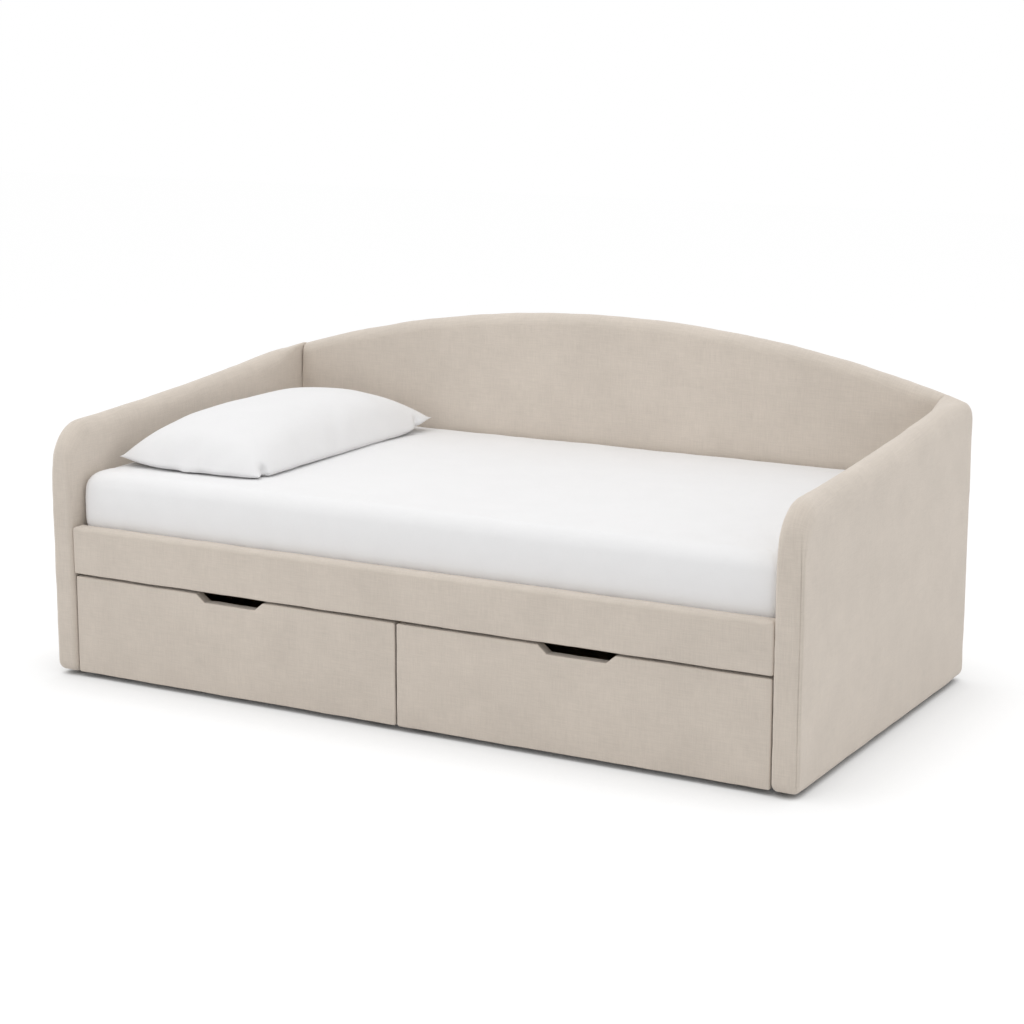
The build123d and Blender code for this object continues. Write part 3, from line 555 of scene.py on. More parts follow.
timber_x = timber_material("pine_along_x", 0)
timber_y = timber_material("pine_along_y", 1)
timber_z = timber_material("pine_along_z", 2)
birch_x = board_material("birch_along_x", 0)
birch_y = board_material("birch_along_y", 1)
slot_materials = {
    "linen": linen_material(),
    "sheet_cotton": cotton_material("sheet_cotton_weave", COTTON, SHEET_PITCH),
    # A darker copy of the sheet's cotton: painted shade on the pillow.
    "pillow_cotton": cotton_material("pillow_cotton_weave", shade(COTTON, PILLOW_PAINTED_SHADE)[:3], PILLOW_PITCH),
    "mattress_ticking": ticking_material(),
    "strap_webbing": webbing_material(),
    "timber": timber_x,
    "hardboard": hardboard_material(),
    "drawer_board": birch_x,
    "zinc_steel": steel_material(),
    "glide_plastic": plastic_material("glide_black", GLIDE_BLACK),
    "wheel_plastic": plastic_material("wheel_black", WHEEL_BLACK),
}
grain_by_node = {
    "slats": timber_y, "drawer_guides": timber_y,
    "arm_left_frame": timber_z, "arm_right_frame": timber_z, "back_frame": timber_z,
}
for side in ("left", "right"):
    grain_by_node.update({f"drawer_{side}_side_inner": birch_y, f"drawer_{side}_side_outer": birch_y})
for part in frame["record"]["subparts"]:
    node = frame["nodes"][part["node"]]
    node.data.materials.clear()
    node.data.materials.append(grain_by_node.get(part["node"], slot_materials[part["material_slot"]]))


def dress(obj, body, slot, *nodes):
    """Gives a piece its material slot and its body, and hides the CAD nodes that it stands for."""
    obj.data.materials.append(slot_materials[slot])
    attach(obj, body)
    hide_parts(*nodes)


# Arms. A range is where along the depth, or how high up, a value changes to the next one.
ARM_FRONT_HEIGHT = 0.651
ARM_REAR_HEIGHT = 0.741
ARM_TOP_SAG = 0.012
ARM_TOP_ENDS = (0.15, 0.12)
ARM_TOP_POINTS = 24
ARM_FRONT_CORNER = 0.092
ARM_REAR_CORNER = 0.044
ARM_FOOT_CORNER = 0.024
ARM_OUTER_EDGE = 0.018
ARM_INNER_EDGE = 0.014
ARM_TOP_OUTER_EDGE = 0.050
ARM_TOP_INNER_EDGE = 0.038
ARM_TOP_DEPTH_SHARE = 0.72
ARM_TOP_RANGE = (0.50, 0.64)
ARM_REAR_OUTER_EDGE = 0.022
ARM_REAR_INNER_EDGE = 0.007
ARM_REAR_OUTER_RANGE = (0.36, 0.52)
ARM_REAR_INNER_RANGE = (0.36, 0.48)
ARM_REAR_FALL = 0.34
ARM_FALL_RANGE = (0.58, 0.70)
ARM_SEAM_FRONT = (0.05, 0.005)
ARM_SEAM_RANGE = (0.50, 0.62)
ARM_SEAM_FOOT = (0.004, 0.03)
ARM_SEAM_SHARES = (0.05, 0.95, 0.8)
ARM_SEEDS = {"left": 21, "right": 11}
ARM_GRID = 0.013
PANEL_STEP = 0.010
PANEL_LIFT = 0.0006


def arm_outline(low, high):
    """The arm's side view: rounded corners, and a top that rises to the back in a slack curve."""
    half = (high.y - low.y) / 2
    top = []
    for y in np.linspace(high.y - ARM_TOP_ENDS[1], low.y + ARM_TOP_ENDS[0], ARM_TOP_POINTS):
        share = (y + half) / (2 * half)
        height = ARM_FRONT_HEIGHT + (ARM_REAR_HEIGHT - ARM_FRONT_HEIGHT) * share
        top.append((y, height - ARM_TOP_SAG * (1 - (y / half) ** 2)))
    corners = [(low.y, low.z), (high.y, low.z), (high.y, ARM_REAR_HEIGHT), *top, (low.y, ARM_FRONT_HEIGHT)]
    radii = [ARM_FOOT_CORNER, ARM_FOOT_CORNER, ARM_REAR_CORNER] + [0] * len(top) + [ARM_FRONT_CORNER]
    return rounded_outline(corners, radii, PANEL_STEP)


def arm_seam(depth, height, low):
    """The seam's strength: plain along the front, faint elsewhere, and none at the foot."""
    faint, plain, fade = ARM_SEAM_SHARES
    front_run = smooth_step(depth, *(low.y + reach for reach in ARM_SEAM_FRONT))
    strength = faint + plain * front_run * (1 - fade * smooth_step(height, *ARM_SEAM_RANGE))
    return strength * smooth_step(height, *(low.z + reach for reach in ARM_SEAM_FOOT))


def arm_edge(depth, upper, side, top, rear, rear_range):
    """How far the rim is rounded at each point of the outline: wider along the top, and its own way at the rear."""
    edge = side + (top - side) * upper
    edge += (rear - edge) * smooth_step(depth, *rear_range)
    return edge


def arm(side, sign):
    low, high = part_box(f"arm_{side}_cover")
    inner, outer = sorted((abs(low.x), abs(high.x)))
    outline = arm_outline(low, high)
    depth, height = outline.T
    upper = smooth_step(height, *ARM_TOP_RANGE)
    share = 1 - (1 - ARM_TOP_DEPTH_SHARE) * upper
    inner_edge = arm_edge(depth, upper, ARM_INNER_EDGE, ARM_TOP_INNER_EDGE, ARM_REAR_INNER_EDGE,
                          ARM_REAR_INNER_RANGE)
    outer_edge = arm_edge(depth, upper, ARM_OUTER_EDGE, ARM_TOP_OUTER_EDGE, ARM_REAR_OUTER_EDGE,
                          ARM_REAR_OUTER_RANGE)

    def place(points):
        return np.column_stack([sign * points[:, 2], points[:, 0], points[:, 1]])

    obj = cloth_panel(f"arm_{side}_upholstery", outline, inner, outer, inner_edge, outer_edge, place, ARM_GRID,
                      arm_seam(depth, height, low), depths=(inner_edge * share, outer_edge * share))
    points = points_of(obj)
    fall = smooth_step(points[:, 1], *ARM_REAR_OUTER_RANGE) * smooth_step(points[:, 2], *ARM_FALL_RANGE)
    points[:, 2] -= ARM_REAR_FALL * fall * (np.abs(points[:, 0]) - inner)
    move_points(obj, points)
    soften(obj, ARM_SEEDS[side], PANEL_LIFT)
    dress(obj, "frame", "linen", f"arm_{side}_cover")


# Back
ARCH_RISE = 0.139
ARCH_MARGIN = 0.015
ARCH_POINTS = 150
BACK_FOOT_CORNER = 0.006
BACK_END_CORNER = 0.002
BACK_EDGE = 0.030
BACK_END_EDGE = 0.005
BACK_BLEND = 0.10
BACK_END_REACH = 0.0025
BACK_FOOT_REACH = 0.01
BACK_STEP = 0.012
BACK_GRID = 0.016
BACK_SEED = 31


def back():
    low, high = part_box("back_cover")
    half, peak = high.x, high.z
    radius = (half ** 2 + ARCH_RISE ** 2) / (2 * ARCH_RISE)
    arch = []
    for x in np.linspace(half - ARCH_MARGIN, -half + ARCH_MARGIN, ARCH_POINTS):
        arch.append((x, peak - radius + math.sqrt(radius ** 2 - x ** 2)))
    end = peak - ARCH_RISE
    corners = [(-half, low.z), (half, low.z), (half, end), *arch, (-half, end)]
    radii = [BACK_FOOT_CORNER] * 2 + [BACK_END_CORNER] + [0] * len(arch) + [BACK_END_CORNER]
    outline = rounded_outline(corners, radii, BACK_STEP)
    rise = np.clip((outline[:, 1] - (end - BACK_BLEND)) / BACK_BLEND, 0, 1)
    edge = BACK_END_EDGE + (BACK_EDGE - BACK_END_EDGE) * rise
    ways = outward(outline) * edge[:, None]
    at_end = (np.abs(outline[:, 0]) > half - BACK_END_REACH) & (outline[:, 1] > low.z + BACK_FOOT_REACH)
    sideways = BACK_END_EDGE + (half / radius * BACK_EDGE - BACK_END_EDGE) * rise
    square = np.column_stack([np.sign(outline[:, 0]) * sideways, BACK_EDGE * rise])
    ways[at_end] = square[at_end]
    obj = cloth_panel("back_upholstery", outline, low.y, high.y, edge, edge, upright, BACK_GRID, ways=ways)
    soften(obj, BACK_SEED)
    dress(obj, "frame", "linen", "back_cover")


# Rail and drawer fronts
FLAT_GRID = 0.012
FLAT_PUFFS = (0.0, 0.001)
FLAT_UNEVENNESS = (PANEL_LIFT, 0.12, 0.0002)
RAIL_FOOT_CORNER = 0.0065
RAIL_TOP_CORNER = 0.010
RAIL_EDGE = 0.012
RAIL_END_EDGE = 0.005
RAIL_END_REACH = 0.03
RAIL_FOOT_REACH = 0.01
RAIL_SEED = 41
DRAWER_CORNER = 0.005
DRAWER_FOOT_CORNER = 0.006
DRAWER_EDGE = 0.0038
DRAWER_REAR_EDGE = 0.002
DRAWER_PROUD = 0.0009
# Painted shade on the drawer fronts' folded sides, which stands in for the shade in the gaps round the drawers.
DRAWER_SIDE_PAINTED_SHADE = 1.8
DRAWER_SEEDS = {"left": 51, "right": 61}
NOTCH_EDGE = 0.003
NOTCH_TOP = 0.198
NOTCH_BOTTOM = 0.150
NOTCH_DEPTH = 0.020
NOTCH_TOP_CORNER = 0.006
NOTCH_REACH = (0.004, 0.03)
NOTCH_BELOW = 0.01


def rail():
    low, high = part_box("rail_cover")
    corners = [(low.x, low.z), (high.x, low.z), (high.x, high.z), (low.x, high.z)]
    outline = rounded_outline(corners, [RAIL_FOOT_CORNER] * 2 + [RAIL_TOP_CORNER] * 2, PANEL_STEP)
    at_end = smooth_step(np.abs(outline[:, 0]), high.x - RAIL_END_REACH, high.x)
    at_foot = 1 - smooth_step(outline[:, 1], low.z, low.z + RAIL_FOOT_REACH)
    edge = RAIL_EDGE + (RAIL_END_EDGE - RAIL_EDGE) * at_end
    edge += (RAIL_END_EDGE - edge) * at_foot
    obj = cloth_panel("rail_upholstery", outline, high.y, low.y, edge, edge, upright, FLAT_GRID, puffs=FLAT_PUFFS)
    soften(obj, RAIL_SEED, *FLAT_UNEVENNESS)
    dress(obj, "frame", "linen", "rail_cover")


def drawer_front(side):
    node = f"drawer_{side}_front_cover"
    low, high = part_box(node)
    if side == "left":
        high.x += DRAWER_PROUD
    else:
        low.x -= DRAWER_PROUD
    middle = (low.x + high.x) / 2
    floor = high.z - NOTCH_DEPTH
    corners = [(low.x, low.z), (high.x, low.z), (high.x, high.z), (middle + NOTCH_TOP / 2, high.z),
               (middle + NOTCH_BOTTOM / 2, floor), (middle - NOTCH_BOTTOM / 2, floor),
               (middle - NOTCH_TOP / 2, high.z), (low.x, high.z)]
    radii = [DRAWER_FOOT_CORNER, DRAWER_FOOT_CORNER, DRAWER_CORNER, NOTCH_TOP_CORNER,
             DRAWER_CORNER, DRAWER_CORNER, NOTCH_TOP_CORNER, DRAWER_CORNER]
    outline = rounded_outline(corners, radii, PANEL_STEP)
    away = np.abs(outline[:, 0] - middle)
    at_notch = 1 - smooth_step(away, *(NOTCH_TOP / 2 + reach for reach in NOTCH_REACH))
    at_notch *= outline[:, 1] > floor - NOTCH_BELOW
    edge = DRAWER_EDGE + (NOTCH_EDGE - DRAWER_EDGE) * at_notch
    obj = cloth_panel(f"drawer_{side}_upholstery", outline, high.y, low.y, DRAWER_REAR_EDGE, edge, upright,
                      FLAT_GRID, puffs=FLAT_PUFFS, painted_wall_shade=DRAWER_SIDE_PAINTED_SHADE)
    soften(obj, DRAWER_SEEDS[side], *FLAT_UNEVENNESS)
    dress(obj, f"drawer_{side}", "linen", node)


# Mattress and fitted sheet
MATTRESS_CORNER = 0.036
MATTRESS_FRONT_CORNER = 0.022
MATTRESS_EDGE = 0.038
MATTRESS_REAR_SHARE = 0.35
MATTRESS_FOOT_EDGE = 0.009
MATTRESS_CROWN = 0.002
MATTRESS_CROWN_REACH = 0.30
MATTRESS_INSET = 0.0035
MATTRESS_GRID = 0.05
BED_STEP = 0.014
BED_FOOT_TURNS = (0, 20, 40, 60, 80, 90)
BED_SIDE_PARTS = 10
END_SWELL = 0.006
END_SWELL_RANGE = (0.02, 0.10)
FRONT_SWELL = 0.008
FRONT_SWELL_RANGE = (-0.006, 0.008)
SWELL_TOP = 0.08
RAIL_TOP = 0.393
SHEET_RETURN = 0.110
SHEET_RETURN_SHARES = (0.72, 0.45)
SHEET_LIFT = 0.0006
SHEET_INSET = 0.0004
SHEET_GRID = 0.016
FOLD_FOOT = (0.01, 0.05)
FOLD_WAVES = ((0.0012, 0.30, 71), (0.0004, 0.07, 72))
FOLD_NEAR, FOLD_FAR = (0.02, 0.09), (0.16, 0.42)
FOLD_FAN, FOLD_FAN_TURNS, FOLD_FAN_TWIST = 0.0011, 19, 6
PULL, PULL_LENGTH, PULL_SLANT, PULL_SIDE = 0.0006, 0.085, 0.45, (0.75, 0.95)
PULL_WANDER, PULL_SEED = 0.4, 73


def bed_form(name, inset, closed, spacing):
    """The mattress's rounded form, less an even inset; open below, past its tuck, if it isn't closed."""
    low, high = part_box("fitted_sheet")
    x_half = (high.x - low.x) / 2 - inset
    y_half = (high.y - low.y) / 2 - inset
    corners = [(-x_half, -y_half), (x_half, -y_half), (x_half, y_half), (-x_half, y_half)]
    radii = [MATTRESS_FRONT_CORNER - inset] * 2 + [MATTRESS_CORNER - inset] * 2
    outline = rounded_outline(corners, radii, BED_STEP)
    count = len(outline)
    base, top = low.z + inset, high.z - inset - MATTRESS_CROWN
    edge, foot = MATTRESS_EDGE, MATTRESS_FOOT_EDGE
    profile = []
    if not closed:
        profile.append((SHEET_RETURN, base + SHEET_LIFT))
        profile += [(SHEET_RETURN * share, base) for share in SHEET_RETURN_SHARES]
    for turn in BED_FOOT_TURNS:
        a = math.radians(turn)
        profile.append((foot * (1 - math.sin(a)), base + foot * (1 - math.cos(a))))
    for k in range(1, BED_SIDE_PARTS):
        profile.append((0.0, base + foot + (top - edge - base - foot) * k / BED_SIDE_PARTS))
    for turn in range(90, -1, -9):
        a = math.radians(turn)
        profile.append((edge * (1 - math.sin(a)), top - edge * (1 - math.cos(a))))
    points, lengths = [], [0.0]
    for inward, z in profile:
        rear = (outline[:, 1] > 0) & (z > (base + top) / 2)
        share = np.column_stack([np.ones(count), np.where(rear, MATTRESS_REAR_SHARE, 1)])
        drawn = outline * (1 - inward * share / np.array([x_half, y_half]))
        points.append(np.column_stack([drawn, np.full(count, z)]))
    for a, b in zip(profile, profile[1:]):
        lengths.append(lengths[-1] + math.hypot(b[0] - a[0], b[1] - a[1]))
    faces, corners = ring_faces(count, len(profile), run_length(outline), lengths)
    caps = [(len(profile) - 1, top)] + ([(0, base)] if closed else [])
    for ring, z in caps:
        loop = points[ring][:, :2]
        extra = cap(loop, spacing, ring, sum(map(len, points)), faces, corners)
        away = edge_distance(extra, loop)
        crown = MATTRESS_CROWN * smooth_step(away, 0, MATTRESS_CROWN_REACH) if z == top else 0
        points.append(np.column_stack([extra, np.full(len(extra), z) + crown]))
    middle = np.array([(low.x + high.x) / 2, (low.y + high.y) / 2, 0])
    return mesh_object(name, np.vstack(points) + middle, faces, corners)


def swell(obj):
    """The filling pushes the ends out a little, and the front out above the rail."""
    low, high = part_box("fitted_sheet")
    points = points_of(obj)
    normals = normals_of(obj)
    z = points[:, 2]
    below_top = 1 - smooth_step(z, high.z - SWELL_TOP, high.z)
    ends = END_SWELL * smooth_step(z, *(low.z + reach for reach in END_SWELL_RANGE)) * below_top
    front = FRONT_SWELL * smooth_step(z, *(RAIL_TOP + reach for reach in FRONT_SWELL_RANGE)) * below_top
    points[:, 0] += ends * normals[:, 0]
    points[:, 1] += front * np.minimum(normals[:, 1], 0)
    move_points(obj, points)


def tension_folds(obj):
    """The fitted sheet's faint pull lines at the corners and along its front edge, and the ease of its sides."""
    low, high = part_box("fitted_sheet")
    points = points_of(obj)
    normals = normals_of(obj)
    up = smooth_step(points[:, 2], *(low.z + reach for reach in FOLD_FOOT))
    lift = sum(height * ripple(points, length, seed) for height, length, seed in FOLD_WAVES)
    for x, y in ((low.x, low.y), (high.x, low.y), (low.x, high.y), (high.x, high.y)):
        across = points[:, 0] - x
        along = points[:, 1] - y
        reach = np.hypot(across, along)
        bearing = np.arctan2(np.abs(along), np.abs(across))
        fade = smooth_step(reach, *FOLD_NEAR) * (1 - smooth_step(reach, *FOLD_FAR))
        lift += FOLD_FAN * fade * np.sin(bearing * FOLD_FAN_TURNS + FOLD_FAN_TWIST * reach + x) * up
    side = smooth_step(np.abs(normals[:, 1]), *PULL_SIDE) + smooth_step(np.abs(normals[:, 0]), *PULL_SIDE)
    slant = points[:, 0] + points[:, 1] + PULL_SLANT * (points[:, 2] - low.z)
    wander = 2 * ripple(points, PULL_WANDER, PULL_SEED)
    lift += PULL * side * up * np.sin(slant * 2 * math.pi / PULL_LENGTH + wander)
    lift *= up
    move_points(obj, points + normals * lift[:, None])


def mattress_and_sheet():
    core = bed_form("mattress_body", MATTRESS_INSET, True, MATTRESS_GRID)
    swell(core)
    dress(core, "frame", "mattress_ticking", "mattress")
    cover = bed_form("sheet_stretched", SHEET_INSET, False, SHEET_GRID)
    swell(cover)
    tension_folds(cover)
    dress(cover, "frame", "sheet_cotton", "fitted_sheet")


# Pillow
PILLOW_FLAT = (0.490, 0.810)
PILLOW_CELLS = (48, 80)
PILLOW_CENTRE = (-0.709, 0.022)
PILLOW_REACH = (0.229, 0.424)
PILLOW_REST = 0.009
PILLOW_SIDES = {"left": (0.955, 0.93, 0.97), "right": (1.0, 0.92, 0.94)}
PILLOW_ENDS = {"front": (0.98, 1.005, 0.98), "rear": (1.0, 0.98, 1.0)}
PILLOW_SLACK, PILLOW_SLACK_AT, PILLOW_SLACK_REACH = 0.115, 0.05, (0.60, 0.36)
PILLOW_TIP_REACH = 0.075
PILLOW_BLUNT = 0.030
PILLOW_BLUNT_RANGE = (0.08, 0.16)
PILLOW_CREASE_RANGE = (0.03, 0.08)
PILLOW_SMOOTHING = (4, 10)
PILLOW_MARGIN = 0.0008
PILLOW_FRAMES = 22
PILLOW_CREASES = (((1, -0.94), (-1, 0.7), 0.032, 0.008, 0.034), ((1, 0.84), (-1, 0), 0.016, 0.010, 0.034))
PILLOW_TIP_LIFTS = {(-1, -1): 0.012, (1, -1): -0.003, (1, 1): 0.024, (-1, 1): 0.012}


def flat_pillow_case(name):
    """Two layers of cloth, joined along their edges, with a little depth so that pressure can open them."""
    columns, rows = PILLOW_CELLS
    index, points = {}, []
    for layer in (0, 1):
        for j in range(rows + 1):
            for i in range(columns + 1):
                edge = i in (0, columns) or j in (0, rows)
                if layer and edge:
                    index[1, i, j] = index[0, i, j]
                    continue
                index[layer, i, j] = len(points)
                u, v = 2 * i / columns - 1, 2 * j / rows - 1
                depth = 0 if edge else 0.045 * ((1 - u ** 2) * (1 - v ** 2)) ** 0.5 + 0.002
                points.append((u * PILLOW_FLAT[0] / 2, v * PILLOW_FLAT[1] / 2, depth if layer else -depth))
    faces, uvs = [], []
    for layer in (0, 1):
        for j in range(rows):
            for i in range(columns):
                corner = [(i, j), (i + 1, j), (i + 1, j + 1), (i, j + 1)]
                if not layer:
                    corner.reverse()
                faces.append([index[layer, a, b] for a, b in corner])
                uvs += [(a * PILLOW_FLAT[0] / columns, b * PILLOW_FLAT[1] / rows) for a, b in corner]
    points = np.array(points)
    edge = np.maximum(np.abs(points[:, 0]) / (PILLOW_FLAT[0] / 2), np.abs(points[:, 1]) / (PILLOW_FLAT[1] / 2))
    return mesh_object(name, points, faces, uvs, (edge > 0.999).astype(float))


def inflate(obj, frames):
    """Fills the case by pressure in a cloth simulation, and keeps the result as its mesh."""
    scene = bpy.context.scene
    cloth = obj.modifiers.new("Cloth", "CLOTH")
    s = cloth.settings
    s.quality = 6
    s.mass = 0.3
    s.tension_stiffness = 6
    s.compression_stiffness = 0.5
    s.shear_stiffness = 1
    s.bending_stiffness = 12
    s.tension_damping = 5
    s.compression_damping = 5
    s.shear_damping = 5
    s.bending_damping = 0.5
    s.air_damping = 1.0
    s.use_pressure = True
    s.uniform_pressure_force = 2.2
    s.effector_weights.gravity = 0.0
    cloth.collision_settings.use_collision = False
    cloth.point_cache.frame_start = 1
    cloth.point_cache.frame_end = frames
    for step in range(1, frames + 1):
        scene.frame_set(step)
    filled = obj.evaluated_get(bpy.context.evaluated_depsgraph_get())
    co = np.empty(3 * len(obj.data.vertices))
    filled.data.vertices.foreach_get("co", co)
    obj.modifiers.remove(cloth)
    scene.frame_set(1)
    move_points(obj, co.reshape(-1, 3))


def even_smooth(obj, rounds):
    """Takes the smallest wrinkles out of a mesh, by drawing each point towards its neighbours."""
    ends = np.empty(2 * len(obj.data.edges), int)
    obj.data.edges.foreach_get("vertices", ends)
    first, second = ends.reshape(-1, 2).T
    points = points_of(obj)
    count = np.bincount(ends, minlength=len(points))[:, None]
    for _ in range(rounds):
        total = np.zeros_like(points)
        np.add.at(total, first, points[second])
        np.add.at(total, second, points[first])
        points = 0.5 * points + 0.5 * total / count
    return points


def bent(values, at):
    """A smooth line through three values, given at -1, 0 and 1."""
    low, middle, high = values
    return middle + (high - low) / 2 * at + ((high + low) / 2 - middle) * at ** 2


def rest_on_bed(points, flat, low, high):
    """Draws the filled pillow's sides straight, presses its underside flat, slackens its middle and lifts its tips."""
    plan = points[:, :2] / np.abs(points[:, :2]).max(axis=0)
    reach = np.abs(plan)
    laid = np.abs(flat[:, :2]) / np.abs(flat[:, :2]).max(axis=0)
    sides, ends = reach[laid[:, 0] > 0.999], reach[laid[:, 1] > 0.999]
    sides, ends = sides[np.argsort(sides[:, 1])], ends[np.argsort(ends[:, 0])]
    u = np.clip(plan[:, 0] / np.interp(reach[:, 1], sides[:, 1], sides[:, 0]), -1, 1)
    v = np.clip(plan[:, 1] / np.interp(reach[:, 0], ends[:, 0], ends[:, 1]), -1, 1)
    x = u * np.where(u < 0, bent(PILLOW_SIDES["left"], v), bent(PILLOW_SIDES["right"], v))
    y = v * np.where(v < 0, bent(PILLOW_ENDS["front"], u), bent(PILLOW_ENDS["rear"], u))
    depth = np.minimum(points[:, 2], 0)
    pressed = -PILLOW_REST * (1 - np.exp(depth / PILLOW_REST))
    risen = np.maximum(points[:, 2], 0) / points[:, 2].max() * (high[2] - low[2] - PILLOW_REST)
    away = (v - PILLOW_SLACK_AT) / np.where(v < PILLOW_SLACK_AT, PILLOW_SLACK_REACH[0], PILLOW_SLACK_REACH[1])
    risen *= 1 - PILLOW_SLACK * np.exp(-away ** 2)
    placed = np.column_stack([PILLOW_CENTRE[0] + x * PILLOW_REACH[0], PILLOW_CENTRE[1] + y * PILLOW_REACH[1],
                              low[2] + PILLOW_REST + pressed + risen])
    for (side, end), lift in PILLOW_TIP_LIFTS.items():
        away = np.hypot((u - side) * PILLOW_REACH[0], (v - end) * PILLOW_REACH[1])
        placed[:, 2] += lift * np.exp(-(away / PILLOW_TIP_REACH) ** 2)
    return placed, u, v


def blunt_corner(points, u, v):
    """The near corner is folded under, so that it is blunt."""
    corner = points[np.argmax(u - v), :2]
    way = np.array([-1.0, 1.0]) / math.sqrt(2)
    offset = points[:, :2] - corner
    along = offset @ way
    shift = PILLOW_BLUNT * np.log1p(np.exp(np.clip(along / PILLOW_BLUNT, -20, 20))) - along
    shift *= 1 - smooth_step(np.hypot(*offset.T), *PILLOW_BLUNT_RANGE)
    points = points.copy()
    points[:, :2] += shift[:, None] * way
    return points


def crease(points, u, v, place, way, depth, width, rise):
    """A fold of the case's foot near that place on the rim, drawn inwards along way."""
    nearest = np.argmin(np.hypot(u - place[0], v - place[1]))
    way = np.array(way) / np.linalg.norm(way)
    offset = points[:, :2] - points[nearest, :2]
    across = offset @ np.array([way[1], -way[0]])
    drawn = depth * np.exp(-(across / width) ** 2) * (1 - smooth_step(offset @ way, *PILLOW_CREASE_RANGE))
    foot = points[nearest, 2]
    drawn *= 1 - smooth_step(points[:, 2], foot + 0.25 * rise, foot + rise)
    points = points.copy()
    points[:, :2] += drawn[:, None] * way
    return points


def apply_modifiers(obj):
    made = obj.evaluated_get(bpy.context.evaluated_depsgraph_get())
    data = bpy.data.meshes.new_from_object(made)
    obj.modifiers.clear()
    obj.data = data


def pillow():
    low, high = (np.array(corner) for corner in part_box("pillow"))
    obj = flat_pillow_case("pillow_filled")
    flat = points_of(obj)
    inflate(obj, PILLOW_FRAMES)
    placed, u, v = rest_on_bed(even_smooth(obj, PILLOW_SMOOTHING[0]), flat, low, high)
    rim = np.maximum(np.abs(u), np.abs(v)) > 0.999
    move_points(obj, placed)
    points = np.where(rim[:, None], placed, even_smooth(obj, PILLOW_SMOOTHING[1]))
    points = blunt_corner(points, u, v)
    for fold in PILLOW_CREASES:
        points = crease(points, u, v, *fold)
    points[:, 2] = np.maximum(points[:, 2], low[2] + PILLOW_MARGIN)
    move_points(obj, points)
    modifier = obj.modifiers.new("Subdivision", "SUBSURF")
    modifier.levels = modifier.render_levels = 1
    apply_modifiers(obj)
    dress(obj, "frame", "pillow_cotton", "pillow")


arm("left", -1)
arm("right", 1)
back()
rail()
drawer_front("left")
drawer_front("right")
mattress_and_sheet()
pillow()


# Stage
FLOOR_HALF = 14.0
FLOOR_COLOR = (0.80, 0.80, 0.80, 1)
FLOOR_SHOWN_COLOR = (0.40, 0.40, 0.40, 1)
FLOOR_GLOW = 0.655
SKY_STRENGTH = 0.85
SOFTBOXES = (
    ("top_box", (-0.8, -1.2, 4.2), (0, 0, 0.3), 3.6, 34),
    ("right_box", (3.4, 0.2, 1.5), (1.0, 0.2, 0.5), 1.2, 6.5),
    ("front_box", (-3.6, -3.6, 2.8), (0, 0, 0.4), 2.6, 15.5),
    ("crown_box", (0.3, 0.9, 4.6), (0, 0, 0.4), 2.2, 12),
)
CAMERA_PLACE = (2.85521, -5.04354, 1.67529)
CAMERA_AZIMUTH = 29.4303
CAMERA_ELEVATION = 12.1273
CAMERA_LENS = 82.488
CAMERA_SENSOR = 36.0
CAMERA_REACH = 100.0


def seen_directly(tree):
    """1 where the camera looks, also in a mirror or through glass, and 0 for light on the object."""
    path = new_node(tree, "ShaderNodeLightPath")
    seen = path.outputs["Is Camera Ray"]
    for ray in ("Is Glossy Ray", "Is Transmission Ray"):
        inputs = {0: seen, 1: path.outputs[ray]}
        seen = new_node(tree, "ShaderNodeMath", inputs, operation="ADD", use_clamp=True).outputs[0]
    return seen


def switch(tree, unseen, shown, output):
    """Ends the tree: unseen for the light on the object, shown for what the camera sees."""
    inputs = {0: seen_directly(tree), 1: unseen.outputs[0], 2: shown.outputs[0]}
    new_node(tree, output, {0: new_node(tree, "ShaderNodeMixShader", inputs).outputs[0]})


def open_share(tree, distance, samples, smooth, **sockets):
    """How open the floor is to the sky at each point, put into a range by the sockets of a Map Range node."""
    sky_seen = new_node(tree, "ShaderNodeAmbientOcclusion", {"Distance": distance}, samples=samples)
    inputs = {"Value": sky_seen.outputs["AO"]}
    inputs.update({key.replace("_", " "): value for key, value in sockets.items()})
    kind = "SMOOTHSTEP" if smooth else "LINEAR"
    return new_node(tree, "ShaderNodeMapRange", inputs, interpolation_type=kind).outputs["Result"]


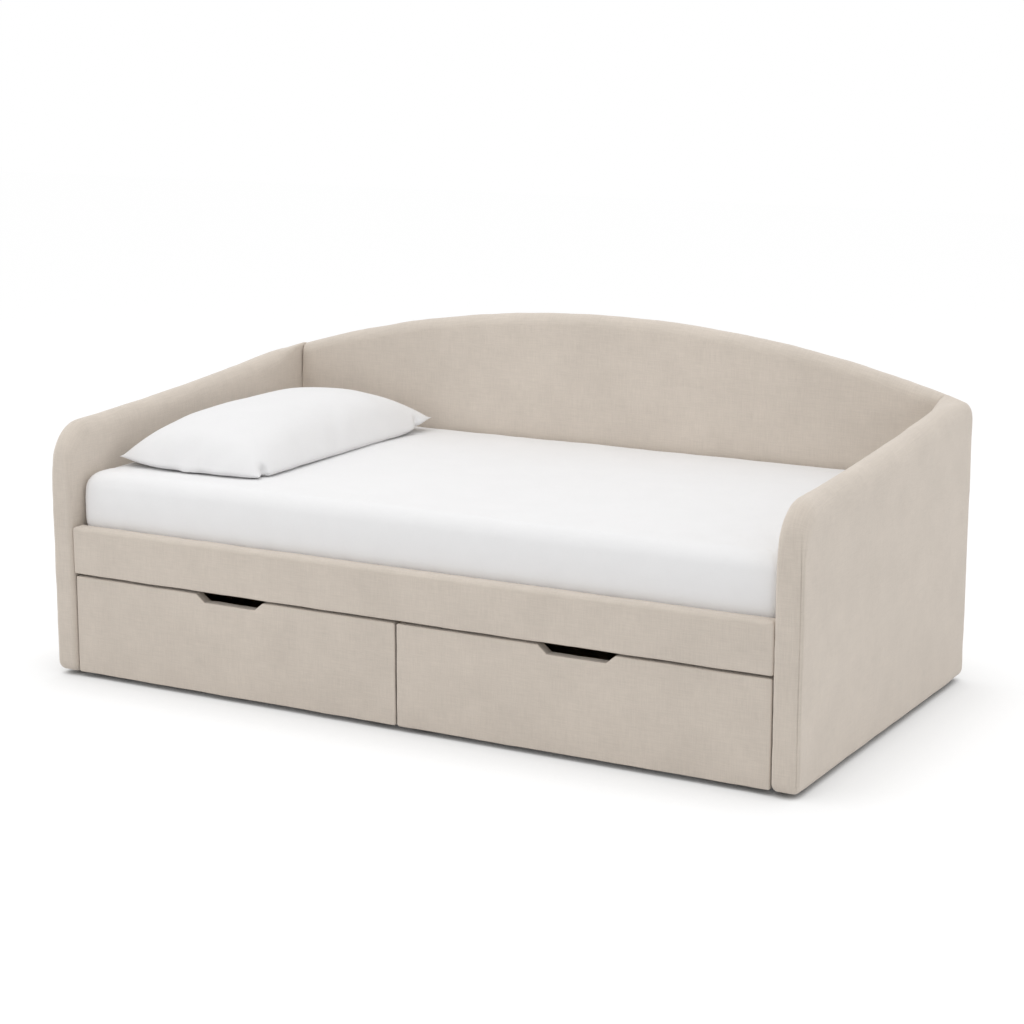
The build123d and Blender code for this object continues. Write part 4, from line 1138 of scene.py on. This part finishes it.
def floor_material():
    """Plain pale floor. The camera sees it near white, and it keeps the shadow of the object; the glow that makes it
    white is dimmed near the object, a painted contact shadow.
    """
    material = bpy.data.materials.new("floor_pale")
    material.use_nodes = True
    tree = material.node_tree
    tree.nodes.clear()
    plain, shown = (new_node(tree, "ShaderNodeBsdfDiffuse", {"Color": color})
                    for color in (FLOOR_COLOR, FLOOR_SHOWN_COLOR))
    # Painted contact shadow: the glow that the camera sees fades where the floor is hidden from the sky near the
    # object.
    near = open_share(tree, 0.10, 8, True, From_Min=0.12, From_Max=0.62, To_Max=FLOOR_GLOW)
    wide = open_share(tree, 0.22, 12, False, From_Min=0.5, From_Max=1.0, To_Min=0.74, To_Max=1.0)
    strength = new_node(tree, "ShaderNodeMath", {0: near, 1: wide}, operation="MULTIPLY").outputs[0]
    glow = new_node(tree, "ShaderNodeEmission", {"Strength": strength})
    both = new_node(tree, "ShaderNodeAddShader", {0: shown.outputs[0], 1: glow.outputs[0]})
    switch(tree, plain, both, "ShaderNodeOutputMaterial")
    return material


def floor():
    corners = [(x * FLOOR_HALF, y * FLOOR_HALF, 0) for x, y in ((-1, -1), (1, -1), (1, 1), (-1, 1))]
    data = bpy.data.meshes.new("floor")
    data.from_pydata(corners, [], [[0, 1, 2, 3]])
    data.materials.append(floor_material())
    obj = bpy.data.objects.new("floor", data)
    bpy.context.scene.collection.objects.link(obj)


def sky(strength):
    """Even white light, and a white background for the camera."""
    world = bpy.data.worlds.new("studio")
    bpy.context.scene.world = world
    world.use_nodes = True
    tree = world.node_tree
    tree.nodes.clear()
    light, white = (new_node(tree, "ShaderNodeBackground", {"Color": (1, 1, 1, 1), "Strength": level})
                    for level in (strength, 1.0))
    switch(tree, light, white, "ShaderNodeOutputWorld")


def softbox(name, place, aim, size, power):
    data = bpy.data.lights.new(name, "AREA")
    data.shape = "SQUARE"
    data.size = size
    data.energy = power
    obj = bpy.data.objects.new(name, data)
    obj.location = place
    obj.rotation_euler = (Vector(aim) - Vector(place)).to_track_quat("-Z", "Y").to_euler()
    bpy.context.scene.collection.objects.link(obj)


def camera():
    data = bpy.data.cameras.new("camera")
    data.sensor_width = CAMERA_SENSOR
    data.lens = CAMERA_LENS
    data.clip_end = CAMERA_REACH
    obj = bpy.data.objects.new("camera", data)
    obj.location = CAMERA_PLACE
    obj.rotation_euler = (math.radians(90 - CAMERA_ELEVATION), 0, math.radians(CAMERA_AZIMUTH))
    bpy.context.scene.collection.objects.link(obj)
    bpy.context.scene.camera = obj


floor()
sky(SKY_STRENGTH)
for softbox_values in SOFTBOXES:
    softbox(*softbox_values)
camera()
bpy.context.scene.view_settings.view_transform = "Standard"
